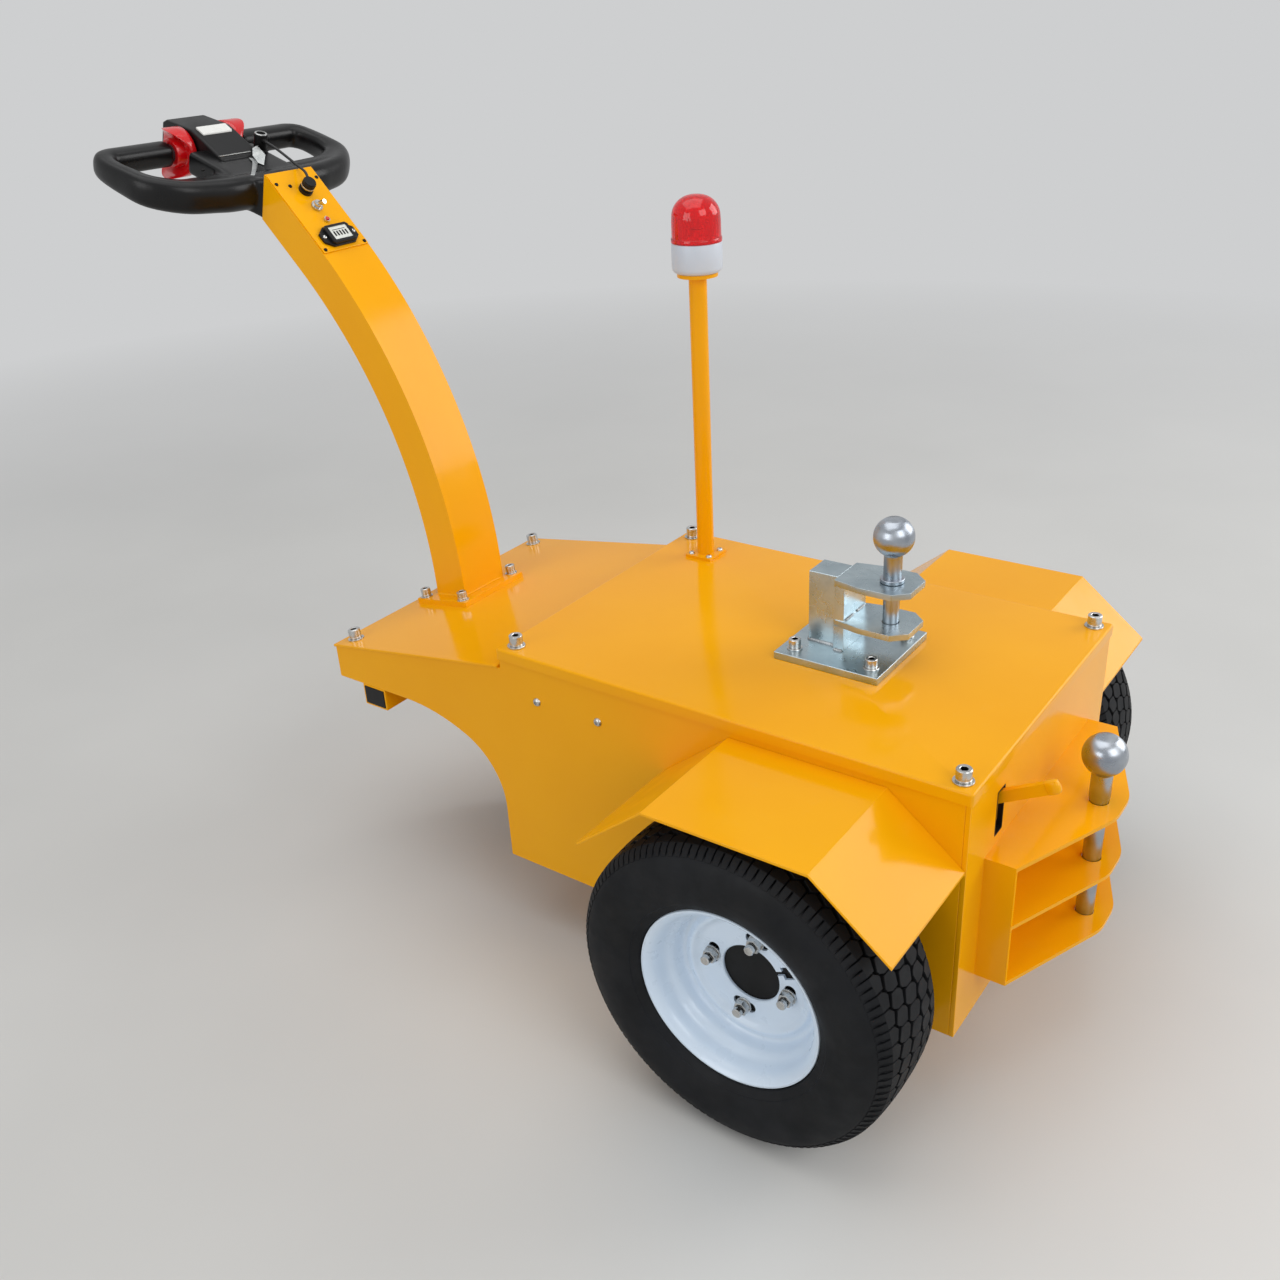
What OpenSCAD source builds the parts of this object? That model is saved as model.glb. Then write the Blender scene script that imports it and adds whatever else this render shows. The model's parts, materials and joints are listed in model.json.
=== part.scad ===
// Walk-behind electric baggage tug: a two-wheel drive chassis with a steel arm, a moulded handle
// and two pin hitches. +X points to the end hitch, +Z is up, and the floor is at z = 0. Left is the
// -Y side, as for a person who walks ahead and leads the tug by its handle. All lengths are in
// millimetres. The plan counts X from the top cover's edge on the handle's side.

/* [Body] */
// Length of the box under the top cover, riser to end plate
body_l = 655; // [560:1:760]
// Width over the two side plates
body_w = 455; // [400:1:560]
// Height of the side plates' top edge above the floor
body_top = 444; // [430:1:500]
// Clearance under the skirt
skirt_z = 107; // [95:1:120]
// Thickness of the side plates
side_t = 5; // [4:0.5:8]
// Thickness of the end plate
end_t = 6; // [4:0.5:10]
// Thickness of the pans and the rolled plate
pan_t = 4; // [3:0.5:6]
// Folded sheet of the top cover
cover_t = 2; // [1.5:0.5:3]
// Depth of the cover's folded lip
cover_lip = 16; // [12:1:24]
// Gap between the lip and the plates
cover_gap = 0.3; // [0.2:0.1:1]

/* [Nose] */
// Length of the nose, from the cover's end
nose_l = 326; // [310:1:360]
// Height of the nose's underside
nose_z = 314; // [306:1:320]
// Drop from the cover's top to the deck at the step
deck_step = 26; // [22:1:30]
// Slope of the front deck
deck_slope = 9.1; // [6:0.1:11]
// Thickness of the front deck
deck_t = 4; // [3:0.5:6]
// How far the skirt starts before the cover's end
skirt_lead = 15; // [10:1:20]
// Radius of the cut-out where it leaves the nose
arch_r1 = 270; // [240:1:290]
// Radius of the cut-out beside the skirt
arch_r2 = 110; // [90:1:120]
// Angle at which one radius passes into the other
arch_a = 25; // [20:1:30]
// Cross tube under the nose, along X
cross_w = 45; // [35:1:50]
// Cross tube under the nose, along Z
cross_h = 34; // [30:1:40]
// Wall of the cross tube
cross_wall = 3; // [2:0.5:4]
// Cross tube's centre before the cover's end
cross_x = 257; // [240:1:275]

/* [Fenders] */
// Outer edge from the centre plane
fender_y = 407; // [400:1:440]
// Top facet's height
fender_z = 421; // [415:1:428]
// Length of the top facet
fender_top_l = 204; // [180:1:240]
// Run of each sloping facet along X
fender_run = 94; // [80:1:110]
// Fall of each sloping facet
fender_fall = 76; // [60:1:90]
// Fender sheet
fender_t = 3; // [2:0.5:4]

/* [Wheels] */
// Axle centre behind the cover's handle-side end
axle_x = 460; // [450:1:480]
// Radius over the tread
tyre_r = 203; // [196:0.5:206]
// Width over the sidewalls
tyre_w = 140; // [130:1:150]
// Centre plane of the tyre from the middle
track_y = 347; // [342:1:352]
// Thickness of the tyre's wall
tyre_wall = 9; // [7:0.5:11]
// Outer radius of the rim flanges
flange_r = 116.5; // [114:0.5:119]
// Radius of the bead seat
bead_r = 101.5; // [99:0.5:103]
// Width between the rim's flanges, outside
rim_w = 112; // [100:1:118]
// Rim's pressed sheet
rim_t = 3.5; // [3:0.5:5]
// Centre hole of the wheel disc
disc_hole_r = 36.5; // [33:0.5:38]
// Pitch circle of the wheel studs
stud_pcd = 101.6; // [95:0.1:108]
// Wheel stud radius
stud_r = 6; // [5:0.5:7]
// Number of wheel studs
stud_n = 4; // [4:1:6]
// Axle shaft radius
shaft_r = 15; // [12:0.5:18]
// Axle tube radius
axle_tube_r = 32; // [28:1:36]
// Radius of the hub's flange behind the wheel disc
hub_r = 66; // [62:1:72]
// Thickness of the hub's flange
hub_t = 12; // [10:1:14]
// Length of the axle tube outside each side plate
axle_tube_out = 36; // [30:1:40]

/* [Battery] */
// Length of the battery
battery_l = 330; // [260:1:360]
// Height of the battery
battery_h = 210; // [180:1:230]
// Gap between the battery and each side plate
battery_gap = 32.5; // [20:0.5:50]

/* [Caster] */
// Swivel axis before the cover's handle-side end
caster_x = 172; // [165:1:178]
// Caster wheel radius
caster_r = 100; // [90:1:102]
// Caster wheel width
caster_w = 48; // [40:1:52]
// Side of the caster's square top plate
caster_plate_l = 100; // [90:1:108]
// Trail between swivel axis and wheel axle
caster_trail = 45; // [38:1:48]
// Height of the swivel plate's top
caster_top = 246; // [240:1:252]

/* [Arm] */
// Arm's outer face at the deck, before the cover's handle-side end
arm_x = 231; // [222:1:236]
// Depth of the arm's box section
arm_depth = 59; // [52:1:66]
// Width of the arm's box section
arm_w = 88; // [80:1:96]
// Plate thickness of the arm
arm_wall = 4; // [3:0.5:6]
// Radius of the arm's outer face
arm_r = 768; // [740:1:800]
// Drop of the curve's centre below the deck
arm_low = 10; // [4:1:14]
// Lean at the top of the curve
arm_lean = 44; // [41:0.5:46]
// Straight length above the curve
arm_straight = 122; // [110:1:140]
// Base plate along X
arm_plate_l = 104; // [96:1:110]
// Base plate along Y
arm_plate_w = 132; // [124:1:140]
// Base plate thickness
arm_plate_t = 8; // [6:1:10]

/* [Panel] */
// Length of the panel from the arm's upper end
panel_l = 147; // [140:1:156]
// Thickness of the panel
panel_t = 2; // [1.5:0.5:3]
// Middle of the battery gauge from the arm's end
gauge_d = 124; // [120:1:128]
// Gauge housing along the arm
gauge_l = 27; // [24:1:30]
// Gauge housing across the arm
gauge_w = 42; // [38:1:46]
// Height of the gauge housing
gauge_h = 9; // [7:1:12]
// Indicator lamp from the arm's end
lamp_d = 95; // [92:1:98]
// Toggle switch from the arm's end
switch_d = 70; // [66:1:74]
// Plug socket from the arm's end
plug_d = 40; // [36:1:46]
// Plug radius
plug_r = 9; // [8:0.5:10]
// Plug height
plug_h = 20; // [17:1:24]

/* [Handle] */
// Drop of the handle's middle plane below the arm's upper edge
head_drop = 35.5; // [33:0.5:38]
// Tilt of the handle above the horizontal
head_tilt = 19; // [16:0.5:23]
// Distance from the arm's end to the grip bar
bar_u = 186; // [180:1:190]
// Radius of the grip bar
bar_r = 13; // [11:0.5:14]
// Radius over the grips
grip_r = 17.5; // [16:0.5:18]
// Length of each grip
grip_l = 78; // [70:1:80]
// Grip bar's ends from the middle
bar_half_l = 157; // [155:1:159]
// Width of the control box
box_w = 72; // [64:1:76]
// Length of the control box
box_l = 140; // [134:1:144]
// Height of the control box
box_h = 62; // [58:1:66]
// Half width of the web under the box
web_half_w = 60; // [54:1:64]
// Throttle radius
throttle_r = 36; // [33:1:38]
// Inner face of the throttles from the middle
throttle_in = 38; // [37.5:0.5:40]
// Outer face of the throttles' lobes from the middle
throttle_out = 75; // [68:1:76]
// Cable radius
cable_r = 2; // [1.5:0.5:3]

/* [Beacon] */
// Pole centre behind the cover's handle-side end
pole_x = 74; // [60:1:90]
// Pole centre from the side plate's outer face
pole_edge = 62.5; // [50:0.5:80]
// Pole radius
pole_r = 12.5; // [10:0.5:15]
// Pole length above its foot
pole_l = 406; // [360:1:450]
// Beacon radius
beacon_r = 34.5; // [31:0.5:39]
// Height of the beacon's base
beacon_base_h = 40.5; // [36:0.5:46]
// Height of the beacon's lens
beacon_lens_h = 60.5; // [54:0.5:68]

/* [Top hitch] */
// Pin axis behind the cover's handle-side end
top_pin_x = 453; // [445:1:460]
// Side of the square base plate
top_plate_w = 143; // [138:1:150]
// Thickness of the base plate
top_plate_t = 10; // [8:1:12]
// Side of the square post
post_w = 40; // [36:1:44]
// Post's centre before the pin
post_back = 83; // [78:1:88]
// Height of the jaw's top above the cover
top_jaw_h = 106; // [100:1:112]
// Height of the gap in the jaw
top_jaw_gap = 46; // [40:1:50]
// Thickness of the jaw's plates
jaw_t = 8; // [6:1:10]
// Width of the jaw's plates
jaw_w = 74; // [70:1:84]
// Thickness of the jaw's back
jaw_back_t = 14; // [10:1:15]
// Width of the jaw's back
jaw_back_w = 60; // [56:1:64]
// Width of the jaw's tip
jaw_tip_w = 42; // [30:1:50]
// Length of the jaw from the post to its tip
jaw_l = 97; // [92:1:104]
// Pin rod radius, top hitch
top_rod_r = 10; // [8:0.5:11]
// Ball head radius, top hitch
top_ball_r = 25; // [22:0.5:27]

/* [End hitch] */
// Height of the hitch's upper face
end_hitch_z = 330; // [322:1:335]
// Step between the hitch's plates
end_step = 81; // [76:1:88]
// Number of hitch plates
end_n = 3; // [2:1:3]
// Thickness of the hitch plates
end_plate_t = 5; // [4:1:8]
// Half width of the hitch at the body
end_half_w = 175; // [165:1:185]
// Length of the hitch's side walls
end_wall_l = 37; // [32:1:42]
// Length of the hitch from the body to its tip
end_l = 99; // [92:1:106]
// Half width of the tip
tip_half_w = 24; // [20:1:30]
// Pin axis from the body's end
end_pin_x = 70; // [64:1:74]
// Pin rod radius, end hitch
end_rod_r = 11; // [10:0.5:13]
// Ball head radius, end hitch
end_ball_r = 26; // [23:0.5:28]
// Running clearance round both pins
pin_gap = 0.6; // [0.4:0.1:1]
// Release lever from the middle
lever_y = -138; // [-145:1:-130]
// Height of the release lever where it leaves the body
lever_z = 392; // [386:1:396]
// Slope of the release lever
lever_tilt = 29; // [24:1:32]

/* [Hidden] */
$fn = 64;
near = 0.02;
weld_step = 0.02;
clear = 0.3;
plug_y = -2;
web_t = 36;
cover_x0 = cover_t + cover_gap;
cover_l = body_l + 2 * cover_x0;
cover_w = body_w + 2 * cover_x0;
cover_z = body_top + cover_t;
body_x1 = cover_x0 + body_l;
deck_z0 = cover_z - deck_step;
side_y = body_w / 2;
inner_w = body_w - 2 * side_t;
nose_x = -nose_l;
skirt_x = -skirt_lead;
arch_c2 = [skirt_x - arch_r2, nose_z - arch_r1 * (1 - cos(arch_a)) - arch_r2 * cos(arch_a)];
arch_c1 = [arch_c2[0] - (arch_r1 - arch_r2) * sin(arch_a), nose_z - arch_r1];
axle_z = tyre_r;
arm_c = [-arm_x - arm_r, deck_top(-arm_x) - arm_low];
arm_dir = [-sin(arm_lean), cos(arm_lean)];
arm_out = [cos(arm_lean), sin(arm_lean)];
arm_p0 = arm_c + arm_r * arm_out;
arm_tip = arm_p0 + arm_straight * arm_dir;
head_dir = [-cos(head_tilt), sin(head_tilt)];
head_up = [sin(head_tilt), cos(head_tilt)];
arm_cut = arm_depth / cos(90 - arm_lean - head_tilt);
head_o = arm_tip - head_up * head_drop;
// Side outline of the control box about the grip bar, drawn 140 long and 62 high: distance away
// from the arm, height
box_shape = [[-88, 14], [-88, 19], [-33, 34], [-15, 38], [42, 32], [50, 26], [52, -6], [42, -20],
             [18, -24], [-26, -24], [-66, -18]];
box_side = [for (q = box_shape) [bar_u + q[0] * box_l / 140, q[1] * box_h / 62]];
reach_back = -min([for (q = box_side) (head_o + head_dir * q[0] + head_up * q[1])[0]]);
reach_front = body_x1 + end_l;
mid_x = (reach_front - reach_back) / 2;

paint = [0.93, 0.62, 0.06];
black = [0.06, 0.06, 0.065];
steel = [0.7, 0.71, 0.72];
red = [0.85, 0.05, 0.06];

function deck_top(x) = deck_z0 + x * tan(deck_slope);
function smooth(a, b, c, d, t) = 0.5 * (2 * b + (c - a) * t + (2 * a - 5 * b + 4 * c - d) * t * t
                                        + (3 * b - a - 3 * c + d) * t * t * t);

// Moves a child from the plan with x = 0 at the cover's end to the part's own frame
module placed() translate([-mid_x, 0, 0]) children();

// A profile drawn in the XZ plane, extruded along Y about the middle
module wall_xz(w, y = 0) translate([0, y + w / 2, 0]) rotate([90, 0, 0]) linear_extrude(w) children();

// Everything outside the body's side outline, below the nose and before the skirt
module arch_cut(grow = 0) {
    translate(arch_c2) circle(arch_r2 + grow);
    intersection() {
        translate(arch_c1) circle(arch_r1 + grow, $fn = 128);
        polygon([arch_c1, arch_c1 + [0, 2 * arch_r1],
                 arch_c1 + 2 * arch_r1 * [sin(arch_a), cos(arch_a)]]);
    }
    polygon([[nose_x - 50, -50], [skirt_x + grow, -50], [skirt_x + grow, arch_c2[1]], arch_c2,
             arch_c1, [arch_c1[0], nose_z + grow], [nose_x - 50, nose_z + grow]]);
}

module side_outline() {
    difference() {
        polygon([[nose_x, skirt_z], [body_x1 - end_t, skirt_z], [body_x1 - end_t, body_top],
                 [cover_x0, body_top], [cover_x0, deck_top(cover_x0) - deck_t],
                 [nose_x, deck_top(nose_x) - deck_t]]);
        arch_cut();
    }
}

module side_plate(side) {
    color(paint) placed() difference() {
        wall_xz(side_t, side * (side_y - side_t / 2)) side_outline();
        translate([axle_x, side * side_y, axle_z]) rotate([90, 0, 0])
            cylinder(r = axle_tube_r + clear, h = 4 * side_t, center = true);
    }
}

module end_plate() {
    slot_w = 22;
    slot_low = lever_z - 49;
    slot_high = lever_z + 10;
    color(paint) placed() difference() {
        translate([body_x1 - end_t, -side_y, skirt_z]) cube([end_t, body_w, body_top - skirt_z]);
        translate([body_x1 - 2 * end_t, lever_y - slot_w / 2, slot_low])
            cube([3 * end_t, slot_w, slot_high - slot_low]);
    }
}

module nose_plate() {
    color(paint) placed()
        translate([nose_x, -inner_w / 2, nose_z])
        cube([side_t, inner_w, deck_top(nose_x) - deck_t - nose_z]);
}

module arch_plate() {
    color(paint) placed() wall_xz(inner_w) intersection() {
        difference() {
            arch_cut(pan_t);
            arch_cut();
        }
        translate([nose_x + side_t, skirt_z])
            square([skirt_x + pan_t - nose_x - side_t, nose_z + pan_t - skirt_z]);
    }
}

module floor_pan() {
    color(paint) placed()
        translate([skirt_x + pan_t, -inner_w / 2, skirt_z])
        cube([body_x1 - end_t - skirt_x - pan_t, inner_w, pan_t]);
}

module front_deck() {
    color(paint) placed() wall_xz(cover_w) {
        polygon([[nose_x - 2, deck_top(nose_x - 2) - deck_t], [nose_x - 2, deck_top(nose_x - 2)],
                 [cover_x0 - deck_t, deck_top(cover_x0 - deck_t)],
                 [cover_x0 - deck_t, deck_top(cover_x0 - deck_t) - deck_t]]);
    }
    color(paint) placed() wall_xz(inner_w)
        polygon([[cover_x0 - deck_t, deck_top(cover_x0 - deck_t) - deck_t],
                 [cover_x0 - deck_t, deck_top(cover_x0 - deck_t)], [cover_x0, deck_top(cover_x0)],
                 [cover_x0, body_top], [cover_x0 + deck_t, body_top],
                 [cover_x0 + deck_t, deck_top(cover_x0) - deck_t]]);
}

module top_cover() {
    color(paint) placed() difference() {
        translate([0, -cover_w / 2, cover_z - cover_lip]) cube([cover_l, cover_w, cover_lip]);
        translate([cover_t, -cover_w / 2 + cover_t, cover_z - cover_lip - 1])
            cube([cover_l - 2 * cover_t, cover_w - 2 * cover_t, cover_lip - cover_t + 1]);
    }
}

module fender_line(drop) {
    xa = axle_x - fender_top_l / 2;
    xb = axle_x + fender_top_l / 2;
    z = fender_z - drop;
    zl = fender_z - fender_fall - drop;
    polygon([[xa - fender_run, zl], [xa, z], [xb, z], [xb + fender_run, zl],
             [xb + fender_run, zl - 2 * fender_t], [xa - fender_run, zl - 2 * fender_t]]);
}

module fender(side) {
    w = fender_y - side_y;
    color(paint) placed() wall_xz(w, side * (side_y + w / 2)) difference() {
        fender_line(0);
        fender_line(fender_t * 1.3);
    }
}

module cross_tube() {
    color(paint) placed() translate([-cross_x, 0, nose_z - cross_h / 2]) difference() {
        cube([cross_w, body_w, cross_h], center = true);
        cube([cross_w - 2 * cross_wall, body_w + 2, cross_h - 2 * cross_wall], center = true);
    }
}

module cross_tube_plugs() {
    plug_l = 14;
    for (side = [-1, 1])
        color(black) placed()
            translate([-cross_x, side * (side_y - plug_l / 2 + 1), nose_z - cross_h / 2])
            cube([cross_w - 2 * cross_wall - 2 * near, plug_l, cross_h - 2 * cross_wall - 2 * near],
                 center = true);
}

// The arm's curved stretch from the side, inset by a wall where it is hollow
module arm_curve(inset) {
    far = 4 * arm_r;
    x0 = -arm_x - arm_r / 2;
    intersection() {
        translate(arm_c) difference() {
            circle(arm_r - inset, $fn = 128);
            circle(arm_r - arm_depth + inset, $fn = 128);
        }
        polygon([[x0, deck_top(x0) + arm_plate_t / 2], [0, deck_top(0) + arm_plate_t / 2],
                 [arm_c[0] + far, arm_c[1]], arm_c + far * [cos(arm_lean / 2), sin(arm_lean / 2)],
                 arm_c + far * arm_out, arm_c + arm_r / 2 * arm_out]);
    }
}

// The arm's straight stretch up to the end that carries the handle; it stands back from the curved
// plates by the depth of the ground weld and laps into them
module arm_stretch(inset) {
    i = inset + weld_step;
    along = i / cos(90 - arm_lean - head_tilt);
    polygon([arm_c + (arm_r - i) * arm_out - arm_dir, arm_tip - along * head_up,
             arm_tip - (arm_cut - along) * head_up,
             arm_c + (arm_r - arm_depth + i) * arm_out - arm_dir]);
}

module arm() {
    color(paint) placed() {
        difference() {
            union() {
                wall_xz(arm_w) arm_curve(0);
                wall_xz(arm_w) arm_stretch(0);
            }
            wall_xz(arm_w - 2 * arm_wall) arm_curve(arm_wall);
            wall_xz(arm_w - 2 * arm_wall) arm_stretch(arm_wall);
        }
        on_deck(-arm_x - arm_depth / 2) translate([0, 0, arm_plate_t / 2])
            cube([arm_plate_l, arm_plate_w, arm_plate_t], center = true);
    }
}

// Frame on the deck's slope, z points out of it
module on_deck(x) translate([x, 0, deck_top(x)]) rotate([0, -deck_slope, 0]) children();

// Frame on the arm's outer face, at a distance below its upper end: x runs up the arm, z points
// out of the face
module on_arm(d) {
    p = arm_tip - d * arm_dir;
    translate([p[0], 0, p[1]]) rotate([0, -(90 - arm_lean), 180]) children();
}

// Frame of the handle: x runs outwards from the arm's end, z points up out of the loop
module on_head() translate([head_o[0], 0, head_o[1]]) rotate([0, -head_tilt, 180]) children();

module arm_panel() {
    color(paint) placed() on_arm(panel_l / 2) translate([0, 0, panel_t / 2])
        cube([panel_l - 2, arm_w - 2, panel_t], center = true);
}

// Screw ears stand out of the housing's two ends
module battery_gauge() {
    ear_l = 12;
    ear_w = 8;
    ear_h = 3;
    color(black) placed() on_arm(gauge_d) {
        translate([0, 0, panel_t + gauge_h / 2]) cube([gauge_l, gauge_w, gauge_h], center = true);
        translate([0, 0, panel_t + ear_h / 2]) cube([ear_l, gauge_w + 2 * ear_w, ear_h], center = true);
    }
}

// A toggle switch in its nut, and a small indicator lamp
module panel_controls() {
    lamp_r = 4.5;
    nut_r = 8.5;
    nut_h = 4;
    neck_h = 9;
    toggle_r = 3.5;
    toggle_l = 17;
    toggle_z = 5;
    toggle_tilt = 25;
    color(steel) placed() {
        on_arm(switch_d) translate([0, 0, panel_t]) {
            cylinder(r = nut_r, h = nut_h);
            cylinder(r = nut_r - 2.5, h = neck_h);
            translate([0, 0, toggle_z]) rotate([0, -toggle_tilt, 0]) cylinder(r = toggle_r, h = toggle_l);
        }
        on_arm(lamp_d) translate([0, 0, panel_t]) cylinder(r = lamp_r, h = nut_h);
    }
}

module cable_plug() {
    collar_h = 5;
    color(black) placed() on_arm(plug_d) translate([0, plug_y, panel_t]) {
        cylinder(r = plug_r + 1.5, h = collar_h);
        cylinder(r = plug_r, h = plug_h);
    }
}

// Half of the loop's centre line, drawn freely to its smooth shape. Columns: distance from the
// arm, distance to the side, half width in the loop's plane and half height across it
loop_half = [[47, 60, 39, 27], [50, 100, 36, 26], [57, 141, 28, 25], [84, 175, 20, 23],
             [122, 185, 15, 20], [158, 185, 15, 18], [178, 178, 16, 18], [bar_u, 164, 17, 17.5],
             [bar_u, bar_half_l - 2, grip_r, grip_r]];
loop_last = len(loop_half) - 1;
loop_knots = concat([for (i = [loop_last:-1:0]) [loop_half[i][0], -loop_half[i][1], loop_half[i][2],
                                                 loop_half[i][3]]], loop_half);
loop_steps = 4;
loop_sides = 16;
// Squareness of the loop's section, 2 is an ellipse
loop_square = 2.8;

function knot(k, i) = k[max(0, min(len(k) - 1, i))];
function path_points(k, n) = concat([for (i = [0:len(k) - 2], j = [0:n - 1])
    smooth(knot(k, i - 1), knot(k, i), knot(k, i + 1), knot(k, i + 2), j / n)], [k[len(k) - 1]]);
function bulge(c) = sign(c) * pow(abs(c), 2 / loop_square);

// A tube of changing oval section along points given as x, y, half width, half height
module flat_sweep(p, sides) {
    m = len(p);
    rings = [for (i = [0:m - 1])
        let (a = p[max(0, i - 1)], b = p[min(m - 1, i + 1)],
             d = [b[0] - a[0], b[1] - a[1]], l = norm(d), nx = d[1] / l, ny = -d[0] / l)
        [for (j = [0:sides - 1]) let (t = 360 * j / sides)
            [p[i][0] + nx * p[i][2] * bulge(cos(t)), p[i][1] + ny * p[i][2] * bulge(cos(t)),
             p[i][3] * bulge(sin(t))]]];
    pts = [for (r = rings) for (q = r) q];
    walls = [for (i = [0:m - 2], j = [0:sides - 1]) let (k = (j + 1) % sides)
        [i * sides + j, i * sides + k, (i + 1) * sides + k, (i + 1) * sides + j]];
    caps = [[for (j = [sides - 1:-1:0]) j], [for (j = [0:sides - 1]) (m - 1) * sides + j]];
    polyhedron(pts, concat(walls, caps), convexity = 6);
}

module handle_loop() {
    socket_l = 30;
    socket_h = 58;
    web_end = 168;
    color(black) placed() on_head() difference() {
        union() {
            flat_sweep(path_points(loop_knots, loop_steps), loop_sides);
            translate([0, -arm_w / 2 + 2, -socket_h / 2]) cube([socket_l, arm_w - 4, socket_h]);
            translate([socket_l, -web_half_w, -web_t / 2])
                cube([web_end - socket_l, 2 * web_half_w, web_t]);
        }
        wall_xz(box_w + 2 * clear) offset_box();
        translate([bar_u, 0, 0]) rotate([90, 0, 0]) {
            cylinder(r = throttle_r + 2, h = 2 * web_half_w + 2, center = true);
            cylinder(r = grip_r + 3, h = 2 * bar_half_l + clear, center = true);
        }
    }
}

// The control box's outline with the clearance that the loop leaves round it
module offset_box() {
    polygon([for (q = box_side) q + [q[0] < bar_u ? -clear : clear, q[1] < 0 ? -clear : clear]]);
}

module grip_bar() {
    color(black) placed() on_head() translate([bar_u, 0, 0]) rotate([90, 0, 0])
        cylinder(r = bar_r, h = 2 * bar_half_l, center = true);
}

module grips() {
    for (side = [-1, 1])
        color(black) placed() on_head() translate([bar_u, side * (bar_half_l - grip_l / 2), 0])
            rotate([90, 0, 0]) difference() {
                cylinder(r = grip_r, h = grip_l - 2 * clear, center = true);
                cylinder(r = bar_r + near, h = grip_l + 2, center = true);
            }
}

module head_box() {
    color(black) placed() on_head() difference() {
        wall_xz(box_w) polygon(box_side);
        translate([bar_u, 0, 0]) rotate([90, 0, 0])
            cylinder(r = bar_r + near, h = box_w + 2, center = true);
    }
}

// A thumb throttle: a disc beside the control box with an upper and a lower lobe
module throttles() {
    disc_t = 9;
    hub_out = throttle_in + 24;
    lobe_gap = 20;
    for (side = [-1, 1])
        color(red) placed() on_head() translate([bar_u, 0, 0]) rotate([side * 90, 0, 0]) difference() {
            union() {
                translate([0, 0, throttle_in]) cylinder(r = throttle_r, h = disc_t);
                translate([0, 0, throttle_in]) cylinder(r = bar_r + 9, h = hub_out - throttle_in);
                translate([0, 0, throttle_in]) intersection() {
                    cylinder(r = throttle_r - 1, h = throttle_out - throttle_in);
                    for (up = [-1, 1])
                        translate([-throttle_r, up * (lobe_gap + throttle_r) / 2 - throttle_r / 4, 0])
                            cube([1.4 * throttle_r, throttle_r / 2, throttle_out - throttle_in]);
                }
            }
            translate([0, 0, throttle_in - 1])
                cylinder(r = bar_r + clear, h = throttle_out - throttle_in + 2);
        }
}

module head_button() {
    button_w = box_w - 18;
    rise = 3;
    color("white") placed() on_head() wall_xz(button_w)
        polygon([box_side[2], box_side[2] + [1, rise], box_side[3] + [-1, rise], box_side[3]]);
}

// Key switch on the web beside the control box
key_u = 113;
key_r = 10;
key_v = -(box_w / 2 + key_r + 1);
key_h = 30;

module key_switch() {
    color(black) placed() on_head() translate([key_u, key_v, web_t / 2 + clear / 2])
        cylinder(r = key_r, h = key_h);
}

function tube_point(c, dir, r, t) =
    let (side = cross(dir, [0, 0, 1]) / norm(cross(dir, [0, 0, 1])), up = cross(side, dir))
    c + r * (side * cos(t) + up * sin(t));

// Round tube through points, for the cable
module cord(p, r, sides = 8) {
    m = len(p);
    dirs = [for (i = [0:m - 1]) let (d = p[min(m - 1, i + 1)] - p[max(0, i - 1)]) d / norm(d)];
    pts = [for (i = [0:m - 1], j = [0:sides - 1]) tube_point(p[i], dirs[i], r, 360 * j / sides)];
    walls = [for (i = [0:m - 2], j = [0:sides - 1]) let (k = (j + 1) % sides)
        [i * sides + j, i * sides + k, (i + 1) * sides + k, (i + 1) * sides + j]];
    caps = [[for (j = [sides - 1:-1:0]) j], [for (j = [0:sides - 1]) (m - 1) * sides + j]];
    polyhedron(pts, concat(walls, caps), convexity = 4);
}

// Points of the handle's frame and of the arm's face, in the plan frame
function head_point(u, v, n) = let (q = head_o + head_dir * u + head_up * n) [q[0], -v, q[1]];
function arm_point(d, v, h) = let (q = arm_tip - arm_dir * d + arm_out * h) [q[0], -v, q[1]];

// The cable runs from the key switch's side, over the arm's end, into the plug's side
plug_turn = 19;
plug_side = plug_r + 2 * clear;
plug_entry = panel_t + plug_h - cable_r - 0.5;
key_side = key_r + 2 * clear;
key_turn = 13;
cable_points = [head_point(key_u - key_side * cos(key_turn), key_v + key_side * sin(key_turn), 36),
                head_point(66, -36, 38.8), head_point(30, -25, 41), head_point(-2, -15.5, 42.3),
                arm_point(16, -10, 16.5), arm_point(24, -7.4, 19.2),
                arm_point(plug_d - plug_side * cos(plug_turn), plug_y - plug_side * sin(plug_turn),
                          plug_entry)];

module key_cable() {
    color(black) placed() cord(path_points(cable_points, 4), cable_r);
}

pole_y = side_y - pole_edge;
pole_wall = 1.5;
foot_l = 44;
foot_t = 4;
collar_r = 28;
collar_t = 5;
beacon_z = cover_z + foot_t + pole_l + collar_t;

module beacon_pole() {
    color(paint) placed() translate([pole_x, pole_y, cover_z]) {
        translate([-foot_l / 2, -foot_l / 2, 0]) cube([foot_l, foot_l, foot_t]);
        difference() {
            cylinder(r = pole_r, h = foot_t + pole_l);
            translate([0, 0, foot_t]) cylinder(r = pole_r - pole_wall, h = pole_l + 1);
        }
        translate([0, 0, foot_t + pole_l]) cylinder(r = collar_r, h = collar_t);
    }
}

// The base is drawn in to the collar by a rounded lower edge
module beacon_base() {
    round_r = 7;
    color([0.85, 0.85, 0.84]) placed() translate([pole_x, pole_y, beacon_z]) rotate_extrude() {
        translate([0, round_r]) square([beacon_r, beacon_base_h - round_r]);
        square([beacon_r - round_r, beacon_base_h]);
        translate([beacon_r - round_r, round_r]) circle(round_r);
    }
}

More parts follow.
